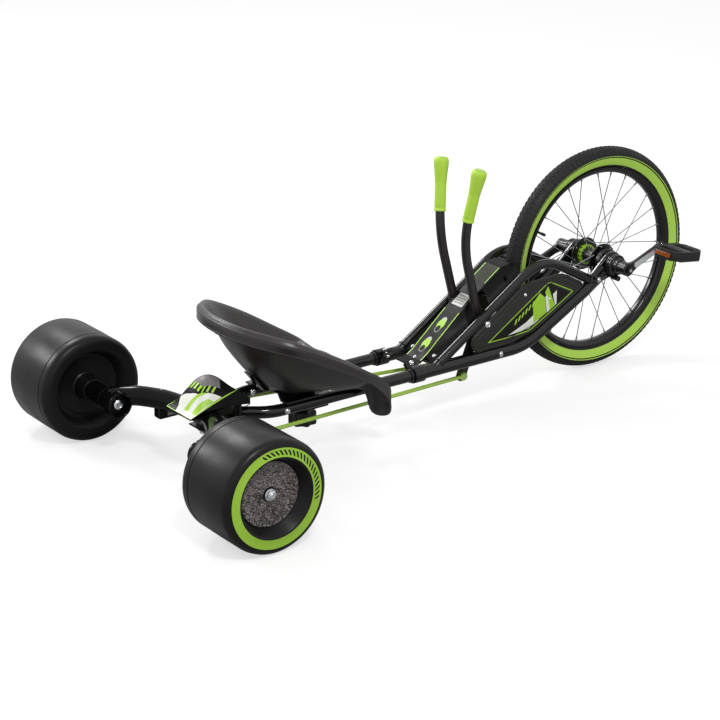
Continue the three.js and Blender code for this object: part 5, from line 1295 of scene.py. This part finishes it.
def front_wheel():
    """Rim and valve, two rows of spokes in their flanges, and the hub with its collar and freewheel."""
    half_rim = [(194.8, 4), (195.4, 6.6), (199, 11), (203, 12.8), (206.4, 13.6), (208.2, 13.4), (208.6, 12)]
    rim = turned([(radius, -along) for radius, along in half_rim] + half_rim[::-1], 176)
    finished("double_wall_rim", at_hub(rim), "front_wheel", RIM_LACQUER, ("front_rim",), 30)
    stem = together(rod((0, 0, 176), (0, 0, 195.4), 2.9, 16), rod((0, 0, 167), (0, 0, 177), 3.6, 16))
    stem = moved(stem, Matrix.Rotation(math.radians(-62), 4, "Y"))
    finished("valve", at_hub(stem), "front_wheel", BLACK_OXIDE)
    for name, side, flange in (("left", 1, 33), ("right", -1, -26)):
        wires = grown(SPOKES, {"Flange radius": 31.5, "Rim radius": 194.4, "Flange side": float(flange),
                               "Rim side": side * 1.6, "Lean": 0.75, "Wire radius": 1.05,
                               "Shift": 0.0 if side > 0 else 0.5, "Out": 2.2 * side, "Count": 14})
        plate = turned([(8.7, flange - 1.4), (36.6, flange - 1.4), (37.4, flange - 0.7), (37.4, flange + 0.7),
                        (36.6, flange + 1.4), (8.7, flange + 1.4)], 56)
        finished("laced_spokes_" + name, at_hub(wires), "front_wheel", SPOKE_WIRE)
        finished("hub_flange_" + name, at_hub(plate), "front_wheel", BLACK_OXIDE, ("spokes_" + name,))
    shell = turned([(8.7, -24.1), (21, -24.1), (21.6, -23), (20.6, -18), (16.5, -14), (15.8, -10), (15.8, 16),
                    (16.5, 21), (20.6, 25), (21.6, 30), (21, 31.1), (8.7, 31.1)], 48)
    finished("waisted_hub", at_hub(shell), "front_wheel", BLACK_OXIDE, ("hub_shell",), 30)
    collar = turned([(15.9, 21.6), (21.4, 21.6), (22.3, 22.6), (22.3, 30.6), (21.6, 31.4), (15.9, 31.4)], 56)
    slots = [grown(BARS_ROUND, {"Radius": radius, "Along": along, "Taper": 1.0, "Count": 14, "Size": size})
             for radius, along, size in ((22.8, 26.6, (2.6, 5.4, 1.6)), (21.0, 21.5, (2.4, 0.8, 3.4)))]
    finished("hub_lime_collar", at_hub(collar), "front_wheel", LIME_VINYL)
    finished("hub_collar_slots", at_hub(together(*slots)), "front_wheel", BLACK_OXIDE)
    core = turned([(8.7, -48.6), (21, -48.6), (21.6, -48), (28.2, -47.6), (28.4, -47), (28.4, -34.6),
                   (28, -34), (21.8, -33.8), (21.8, -27.9), (8.7, -27.9)], 64)
    teeth = grown(BARS_ROUND, {"Radius": 29.8, "Along": -41.2, "Taper": 0.6, "Count": 32,
                               "Size": (2.6, 13.0, 2.8)})
    finished("toothed_freewheel", at_hub(together(core, teeth)), "front_wheel", BLACK_OXIDE, ("freewheel",),
             30)


def holders(name, side):
    """Bearing holders outside the flattened ends, each with its bearing and a nub below."""
    ring = turned([(15.3, 62.4), (23.2, 62.4), (24, 63.2), (24, 66), (22.8, 66.6), (22.8, 68), (24, 68.6),
                   (24, 71.4), (22.8, 72), (22.8, 73.4), (24, 74), (24, 76.6), (23, 77.6), (18.6, 78.4),
                   (17.8, 79.4), (17.8, 88.6), (17, 89.6), (15.9, 90), (15.3, 89.4)], 56)
    nub = rod((0, 62.6, -29), (0, 83.6, -29), 6, 24)
    finished("holder_ring_" + name, at_hub(on_side(together(ring, nub), side)), "frame", BLACK_OXIDE,
             ("bearing_holder_" + name,))
    race = turned([(8.7, 66.4), (14.6, 66.4), (15, 66.8), (15, 85.8), (14.6, 86.2), (13.4, 86.2),
                   (13.2, 85.4), (10.6, 85.4), (10.4, 86.2), (8.7, 86.2)], 48)
    finished("ball_race_" + name, at_hub(on_side(race, side)), "frame", BRIGHT_PLATE,
             ("hub_bearing_" + name,))


# Cranks and pedals

CRANK_TURN = 0.367  # radians that the right arm stands above level
CRANK_LENGTH = 101
ARM_OUTLINE = (arc(0, 0, 15, 50, 10, 27) + [(24, -8.2), (CRANK_LENGTH - 16, -8.2)]
               + arc(CRANK_LENGTH, 0, 11, -120, 12, 21) + [(CRANK_LENGTH - 16, 8.2), (24, 8.2)])
ARM_FACE = [(20, -6.7), (CRANK_LENGTH - 14, -6.7), (CRANK_LENGTH - 11, -4), (CRANK_LENGTH - 10.4, 0),
            (CRANK_LENGTH - 11, 4), (CRANK_LENGTH - 14, 6.7), (20, 6.7), (16, 0)]


def on_arm(along, y):
    """Places a plate drawn along a crank arm at a distance across."""
    return Matrix.Translation(HUB + Vector((0, y, 0))) @ Matrix(
        ((along.x, -along.z, 0, 0), (0, 0, -1, 0), (along.z, along.x, 0, 0), (0, 0, 0, 1)))


def crank_set():
    """The axle through the hub with its nuts, and on each side an arm, its spindle and a pedal."""
    axle = together(rod((0, -117, 0), (0, 117, 0), 8, 28), rod((0, -122, 0), (0, 122, 0), 3.4, 20),
                    turned([(0, 34.9), (11.4, 34.9), (12, 35.5), (12, 49), (11.4, 49.6), (0, 49.6)],
                           32, False))
    nuts = together(*[hex_nut((0, s * 116.4, 0), (0, s, 0), 8.4, 5.2) for s in (1, -1)])
    finished("crank_nuts", at_hub(nuts), "crank", BLACK_OXIDE)
    finished("crank_axle", at_hub(axle), "crank", BRIGHT_PLATE, ("crank_axle",))
    for name, side in SIDES:
        angle = CRANK_TURN + (math.pi if side > 0 else 0)
        along = Vector((math.cos(angle), 0, math.sin(angle)))
        arm = flat_plate([ARM_OUTLINE, circle(0, 0, 8.3, 28), circle(CRANK_LENGTH, 0, 6.3, 24)], 9.9, 1.6,
                         on_arm(along, side * 111))
        boss = turned([(8.4, 91.6), (14.2, 91.6), (15, 92.4), (15, 107), (8.4, 107)], 40)
        finished("forged_crank_" + name, together(arm, at_hub(on_side(boss, side))), "crank", BLACK_OXIDE,
                 ("crank_arm_" + name,))
        # The pale face on the arm's outer side is painted reflection of the black arm's sheen.
        face = flat_plate([ARM_FACE], 0.4, 0.1, on_arm(along, side * 116.02))
        finished("crank_face_" + name, face, "crank", PALE_FACE_PAINTED_REFLECTION)
        end = HUB + along * CRANK_LENGTH
        spindle = [rod((end.x, side * near, end.z), (end.x, side * far, end.z), radius, sides)
                   for near, far, radius, sides in ((105.8, 206.6, 6, 24), (116.5, 127.4, 9, 6))]
        finished("threaded_spindle_" + name, together(*spindle), "crank", BRIGHT_PLATE,
                 ("pedal_spindle_" + name,))
        pedal(name, side, end)


def pedal_cage(side):
    """Cut corners, two windows, lips above and below, two bars and a barrel round the spindle."""
    outline = [(-44, -26), (-30, -40), (30, -40), (44, -26), (44, 26), (30, 40), (-30, 40), (-44, 26)]
    rim = cushioned(outline, 6)
    window = ((11.5, -31), (30, -31), (36, -24), (36, 24), (30, 31), (11.5, 31))
    holes = [cushioned([(x * e, y) for x, y in window], 4) for e in (1, -1)]
    cage = flat_plate([rim] + holes, 19, 2.2, in_xy(0))
    lips = [flat_plate([rim, cushioned(inset(outline, 5), 5)], 3, 0.6, in_xy(z)) for z in (9, -9)]
    bars = []
    for y in (-12, 12):
        bar = cushioned([(-34, y - 1.8), (34, y - 1.8), (34, y + 1.8), (-34, y + 1.8)], 1.2)
        bars.append(flat_plate([bar], 20.6, 0.7, in_xy(0)))
    barrel = turned([(6.7, -39.4), (9, -39.4), (10.6, -37), (10.6, 37), (9, 39.4), (6.7, 39.4)], 32)
    bore = turned([(0, -45), (6.6, -45), (6.6, 38.7), (0, 38.7)], 24, False)
    return together(carved(together(cage, *bars), [on_side(bore, side)]), *lips, barrel)


def pedal(name, side, end):
    """The cage with serrated edges, four pins and a reflector front and rear."""
    turn = Matrix.Translation((end.x, side * 168, end.z)) @ Matrix.Rotation(0.14, 4, "Y")
    body = "pedal_" + name
    places = [(x, y, 0) for y in (-37.6, 37.6) for x in range(-27, 28, 6)]
    places += [(x, y, 0) for x in (-41.6, 41.6) for y in range(-22, 23, 6)]
    upright = {"Turn": (0.0, 0.0, 0.0)}
    studs = grown(STUDS, {"Taper": 0.4, "Corners": 4, "Size": (4.6, 4.6, 23.7), **upright}, places)
    pins = grown(STUDS, {"Taper": 0.9, "Corners": 10, "Size": (2.4, 2.4, 23.2), **upright},
                 [(x, y, 0) for x in (-38.5, 38.5) for y in (-18, 18)])
    shape = together(pedal_cage(side), studs, pins)
    finished("serrated_pedal_" + name, moved(shape, turn), body, FILLED_NYLON, ("pedal_" + name,),
             30)
    lens = cushioned([(-22, -4.6), (22, -4.6), (22, 4.6), (-22, 4.6)], 1.4)
    for where, e in (("rear", -1), ("front", 1)):
        plate = flat_plate([lens], 2.8, 0.6, in_yz(e * 45.8))
        finished("reflector_lens_%s_%s" % (where, name), moved(plate, turn), body, AMBER_PRISM,
                 ("reflector_%s_%s" % (where, name),))


# Levers, grips and tie rods

# From the pivot up to the grip's end, as shares of the lever's reach, of how far it spreads and of its rise
LEVER_PATH = ((-0.07, -0.09, 0.055), (-0.2, -0.09, 0.12), (-1, 0, 0.536), (-0.52, 0.94, 0.985))
LEVER_REACH, LEVER_SPREAD, LEVER_RISE, LEVER_Y = 46, 26, 347, 40.5
LEVER_EYE = Vector((-45, -115))  # where the tie rod is bolted on, from the pivot
LEVER_PLATE = 13  # half the lower plate's width


def lever_plate(side):
    """The flat lower arm, from the rod's eye up to the stem."""
    along = LEVER_EYE.normalized()
    normal = Vector((-along.y, along.x)) * LEVER_PLATE
    top = Vector((-0.2 * LEVER_REACH, 0.12 * LEVER_RISE))
    heading = math.degrees(math.atan2(along.y, along.x))
    arm = arc(LEVER_EYE.x, LEVER_EYE.y, LEVER_PLATE, heading - 90, 12, 16)
    arm += [(normal.x, normal.y), (top.x + 10.5, top.y), (top.x - 10.5, top.y), (-normal.x, -normal.y)]
    holes = [circle(0, 0, BOLT_HOLE, 20), circle(LEVER_EYE.x, LEVER_EYE.y, BOLT_HOLE, 20)]
    place = Matrix.Translation((PIVOT.x, side * LEVER_Y, PIVOT.z)) @ in_xz(0)
    return flat_plate([arm] + holes, 5, 1.1, place)


def lever(name, side):
    """A bent stem on its plate, with a ribbed grip that flares to a rounded end."""
    body = "lever_" + name
    corners = [PIVOT + Vector((x * LEVER_REACH, side * (LEVER_Y + y * LEVER_SPREAD), z * LEVER_RISE))
               for x, y, z in LEVER_PATH]
    stem = swept(even(rounded_path(corners, [20, 60], 14), 8), 10, 32)
    finished("lever_stem_" + name, together(stem, lever_plate(side)), body, LEVER_COAT, ("lever_" + name,))
    rise = (corners[3] - corners[2]).normalized()
    place = facing(rise, corners[3] - rise * 113)
    profile = [(0, 111), (10.3, 111), (10.3, 0.4), (12.6, 0), (13.4, 0.8), (13.5, 2.6), (12.9, 3.8),
               (12.2, 5.2), (12, 8)]
    for i in range(9):
        low = 12 + 5.2 * i
        profile += [(12.2, low), (12.35, low + 0.8), (12.35, low + 3.2), (12.1, low + 4)]
    profile += [(12.6, 62), (13.3, 72), (14.3, 82), (15.3, 92), (16, 99), (16.3, 104), (16, 108.6),
                (14.6, 112.6), (11.6, 115), (9.6, 114.6), (0, 114.6)]
    finished("soft_grip_" + name, moved(turned(profile, 48, False), place), body, LIME_RUBBER,
             ("grip_" + name,), 45)
    cap = turned([(0, 114.8), (8.8, 114.8), (9.2, 115), (9, 115.4), (0, 115.6)], 40, False)
    finished("grip_cap_" + name, moved(cap, place), body, LIME_ENAMEL)


def tie_rod(name, side):
    """A bar from the lever's eye to the axle's bracket, with an eye at each end and its bolts."""
    body = "rod_" + name
    x, z = ROD_FRONT_X, ROD_FRONT_Z
    rear_y = side * BRACKET_Y
    bar = swept([Vector((BRACKET_X, rear_y, 97.75)), Vector((x, side * 47.55, z))], 4.25, 24)
    eye = turned([(0, 43.4), (8.4, 43.4), (9, 44), (9, 51.2), (8.4, 51.8), (0, 51.8)], 36, False)
    eye = moved(on_side(eye, side), Matrix.Translation((x, 0, z)))
    end = moved(turned([(0, 0), (8.4, 0), (9, 0.6), (9, 8.9), (8.4, 9.5), (0, 9.5)], 36, False),
                facing((0, 0, 1), (BRACKET_X, rear_y, 93)))
    finished("lime_tie_rod_" + name, together(bar, eye, end), body, LIME_ENAMEL, ("tie_rod_" + name,))
    bolt = together(rod((x, side * 33.6, z), (x, side * 44, z), 4, 20),
                    hex_nut((x, side * 37.6, z), (0, -side, 0), 5.8, 4.2, 4, 0.2),
                    dome_bolt((x, side * 51.5, z), (0, side, 0), 5, 0.5),
                    hex_nut((BRACKET_X, rear_y, 102.4), (0, 0, 1), 5.8, 4.3, 3.4, 0.2))
    finished("rod_bolts_" + name, bolt, body, BRIGHT_PLATE)


for NAME, SIDE in SIDES:
    clamp(NAME, SIDE)
    lever_bolt(NAME, SIDE)
    holders(NAME, SIDE)
    rear_wheel(NAME, SIDE)
    lever(NAME, SIDE)
    tie_rod(NAME, SIDE)
cross_members()
rails_and_yoke()
pivot_hood()
steering_axle()
front_tyre()
front_wheel()
crank_set()


# Seat

# Half rounds of the bucket, from the floor's edge out to the flange's edge and each from rear to front, as
# shares of its length, half width and rise
SEAT_ROWS = (
    ((0.32, 0, 0), (0.33, 0.15, 0), (0.36, 0.28, 0), (0.41, 0.37, 0), (0.48, 0.42, 0), (0.56, 0.47, 0),
     (0.62, 0.47, 0), (0.65, 0.43, 0), (0.64, 0.34, 0), (0.61, 0.24, 0), (0.59, 0.13, 0), (0.58, 0, 0)),
    ((0.16, 0, 0.5), (0.17, 0.25, 0.5), (0.24, 0.5, 0.45), (0.36, 0.64, 0.33), (0.5, 0.69, 0.19),
     (0.64, 0.7, 0.08), (0.76, 0.69, 0.04), (0.82, 0.63, 0.05), (0.79, 0.52, 0.11), (0.7, 0.4, 0.22),
     (0.65, 0.22, 0.28), (0.63, 0, 0.27)),
    ((0.05, 0, 1), (0.075, 0.36, 0.99), (0.15, 0.65, 0.95), (0.28, 0.86, 0.85), (0.5, 0.9, 0.6),
     (0.71, 0.87, 0.32), (0.87, 0.8, 0.1), (0.93, 0.69, -0.02), (0.88, 0.52, 0.02), (0.74, 0.42, 0.22),
     (0.69, 0.25, 0.34), (0.67, 0, 0.34)),
    ((0.01, 0, 0.98), (0.035, 0.4, 0.97), (0.115, 0.72, 0.93), (0.26, 0.95, 0.83), (0.5, 1, 0.57),
     (0.72, 0.96, 0.28), (0.915, 0.83, 0.0), (0.965, 0.71, -0.25), (0.925, 0.53, -0.24), (0.83, 0.44, 0.06),
     (0.71, 0.26, 0.31), (0.7, 0, 0.3)),
    ((0, 0, 0.86), (0.03, 0.41, 0.85), (0.11, 0.72, 0.81), (0.26, 0.95, 0.71), (0.5, 0.99, 0.46),
     (0.72, 0.95, 0.2), (0.92, 0.82, -0.17), (0.965, 0.73, -0.45), (0.915, 0.54, -0.47), (0.86, 0.465, -0.1),
     (0.72, 0.26, 0.25), (0.71, 0, 0.24)),
)


def seat_row(shares):
    """One closed line round the bucket, the left side's points mirrored for the right."""
    left = [Vector((SEAT_REAR + x * SEAT_LENGTH, y * SEAT_HALF, SEAT_FLOOR + z * SEAT_RISE))
            for x, y, z in shares]
    right = [Vector((p.x, -p.y, p.z)) for p in left[-2:0:-1]]
    return smooth_line(left + right, 6, True)


def seat():
    """The bucket as a shell of even thickness, from the floor up and over the rim to the flange's edge."""
    rows = [seat_row(shares) for shares in SEAT_ROWS]
    count = len(rows[0])
    lines = [smooth_line([row[i] for row in rows], 8) for i in range(count)]
    steps = len(lines[0])
    top = [[line[s] for line in lines] for s in range(steps)]

    def normal_at(s, i):
        if s == 0:
            return Vector((0, 0, 1))
        around = top[s][(i + 1) % count] - top[s][i - 1]
        outward = top[min(s + 1, steps - 1)][i] - top[s - 1][i]
        return around.cross(outward).normalized()

    def beaded(s, lift, radius, sides):
        """A round bead along one line of the shell, set off its face."""
        return swept([p + normal_at(s, i) * lift for i, p in enumerate(top[s])] + [top[s][0]], radius, sides)

    under = [[top[s][i] - normal_at(s, i) * SEAT_WALL for i in range(count)] for s in range(steps)]
    bm = bmesh.new()
    made = [[bm.verts.new(p) for p in ring] for ring in top + under[::-1]]
    for one, two in zip(made, made[1:]):
        for i in range(count):
            j = (i + 1) % count
            bm.faces.new((one[i], one[j], two[j], two[i]))
    centre_x = SEAT_REAR + 0.45 * SEAT_LENGTH
    for ring, z in ((made[0], SEAT_FLOOR), (made[-1], SEAT_FLOOR - SEAT_WALL)):
        middle = bm.verts.new((centre_x, 0, z))
        for i in range(count):
            bm.faces.new((ring[i], ring[(i + 1) % count], middle))
    finished("moulded_bucket_seat", new_skin(bm), "seat", SEAT_SKIN, ("seat",), 50)
    edge = beaded(steps - 1, -SEAT_WALL / 2, 3, 10)
    crest = beaded(steps - 9, 0.1, 1.5, 8)
    finished("seat_rim_beads", together(edge, crest), "seat", SEAT_SKIN, sharp=60)
    screws = [dome_bolt((centre_x + x, y, SEAT_FLOOR), (0, 0, 1), 6, 3, 9)
              for x in (-32, 32) for y in (-38, 38)]
    finished("seat_screws", together(*screws), "seat", BRIGHT_PLATE)


def seat_mount():
    """The bracket, its clamp plate and the seven-lobed knob on its stud."""
    finished("pressed_seat_bracket", softened("seat_bracket", 1.0), "seat", POWDER_COAT, ("seat_bracket",))
    finished("rail_clamp_plate", softened("seat_clamp_plate", 1.0), "seat", POWDER_COAT,
             ("seat_clamp_plate",))
    lobes = 7
    outline = []
    for i in range(lobes * 16):
        a = 2 * math.pi * i / (lobes * 16)
        radius = (30 + 24.5 + 5.5 * math.cos(a * lobes)) / 2
        outline.append((KNOB_X + radius * math.cos(a), radius * math.sin(a)))
    grip = flat_plate([outline], 31.6, 4, in_xy(60))
    boss = rod((KNOB_X, 0, 70), (KNOB_X, 0, 99), 13, 40)
    stud = rod((KNOB_X, 0, 70), (KNOB_X, 0, 144), 5, 24)
    washer = rod((KNOB_X, 0, 96.8), (KNOB_X, 0, 98.8), 13, 40)
    finished("lobed_knob", together(grip, boss), "knob", FILLED_NYLON, ("seat_knob",))
    finished("knob_stud", together(stud, washer), "knob", BRIGHT_PLATE)


seat()
seat_mount()


# Floor, light and camera

ROOM_LIGHT = 0.62  # the backdrop's strength as a source of light


def studio_floor():
    """A broad pale floor that takes the trike's soft shadow and runs out to the white backdrop."""
    bm = bmesh.new()
    bmesh.ops.create_grid(bm, x_segments=2, y_segments=2, size=30)
    floor = new_object("floor", new_mesh(bm))
    floor.location = (0, 0, -0.0006)
    material = bpy.data.materials.new("matt_white_paper_floor")
    material.use_nodes = True
    tree = material.node_tree
    tree.nodes.clear()
    place = add(tree, "ShaderNodeTexCoord").outputs["Object"]
    paper = mottled(tree, place, "#b4b4b4", "#b7b7b7", 300)
    matt = add(tree, "ShaderNodeBsdfDiffuse", None, {"Color": paper})
    glow = add(tree, "ShaderNodeEmission", None, {"Color": (1, 1, 1, 1), "Strength": ROOM_LIGHT})
    seen = add(tree, "ShaderNodeLightPath")
    lit = add(tree, "ShaderNodeMixShader", None, {0: seen.outputs["Is Camera Ray"], 2: glow})
    both = add(tree, "ShaderNodeAddShader", None, {0: matt, 1: lit})
    add(tree, "ShaderNodeOutputMaterial", None, {"Surface": both})
    floor.data.materials.append(material)
    return floor


def backdrop():
    """White where it is seen or mirrored, softer as a source of light."""
    world = bpy.data.worlds.new("studio")
    bpy.context.scene.world = world
    world.use_nodes = True
    tree = world.node_tree
    tree.nodes.clear()
    seen = add(tree, "ShaderNodeLightPath").outputs
    direct = maths(tree, "MAXIMUM", seen["Is Camera Ray"], seen["Is Transmission Ray"])
    plain = maths(tree, "MAXIMUM", direct, seen["Is Glossy Ray"])
    strength = add(tree, "ShaderNodeMapRange", None, {"Value": plain, "To Min": ROOM_LIGHT, "To Max": 1.0})
    sky = add(tree, "ShaderNodeBackground", None, {"Color": (1, 1, 1, 1), "Strength": strength})
    add(tree, "ShaderNodeOutputWorld", None, {"Surface": sky})


def aimed(holder, place, aim):
    holder.location = place
    holder.rotation_euler = (Vector(aim) - Vector(place)).to_track_quat("-Z", "Y").to_euler()
    return holder


def soft_box(name, place, aim, width, height, power):
    lamp = bpy.data.lights.new(name, "AREA")
    lamp.shape = "RECTANGLE"
    lamp.size = width
    lamp.size_y = height
    lamp.energy = power
    return aimed(new_object(name, lamp), place, aim)


def viewpoint():
    """The photograph's own angle, found from its wheels."""
    camera = bpy.data.cameras.new("photo_view")
    camera.lens = 112.87
    camera.sensor_width = 36
    camera.clip_end = 100
    holder = aimed(new_object("photo_view", camera), (-2.7495, -3.5802, 1.8182), (-0.1472, 0, 0.1508))
    bpy.context.scene.camera = holder
    return holder


stage = [studio_floor(), viewpoint(),
         soft_box("key_box", (-1.2, -2.6, 3.4), (0, 0, 0.1), 0.8, 0.6, 60),
         soft_box("left_box", (-0.25, 3.0, 2.8), (0, 0, 0.1), 0.9, 0.7, 42),
         soft_box("rear_box", (-2.2, 3.0, 1.9), (-0.6, 0.2, 0.15), 1.0, 0.9, 44)]
backdrop()
bpy.context.scene.view_settings.view_transform = "Standard"
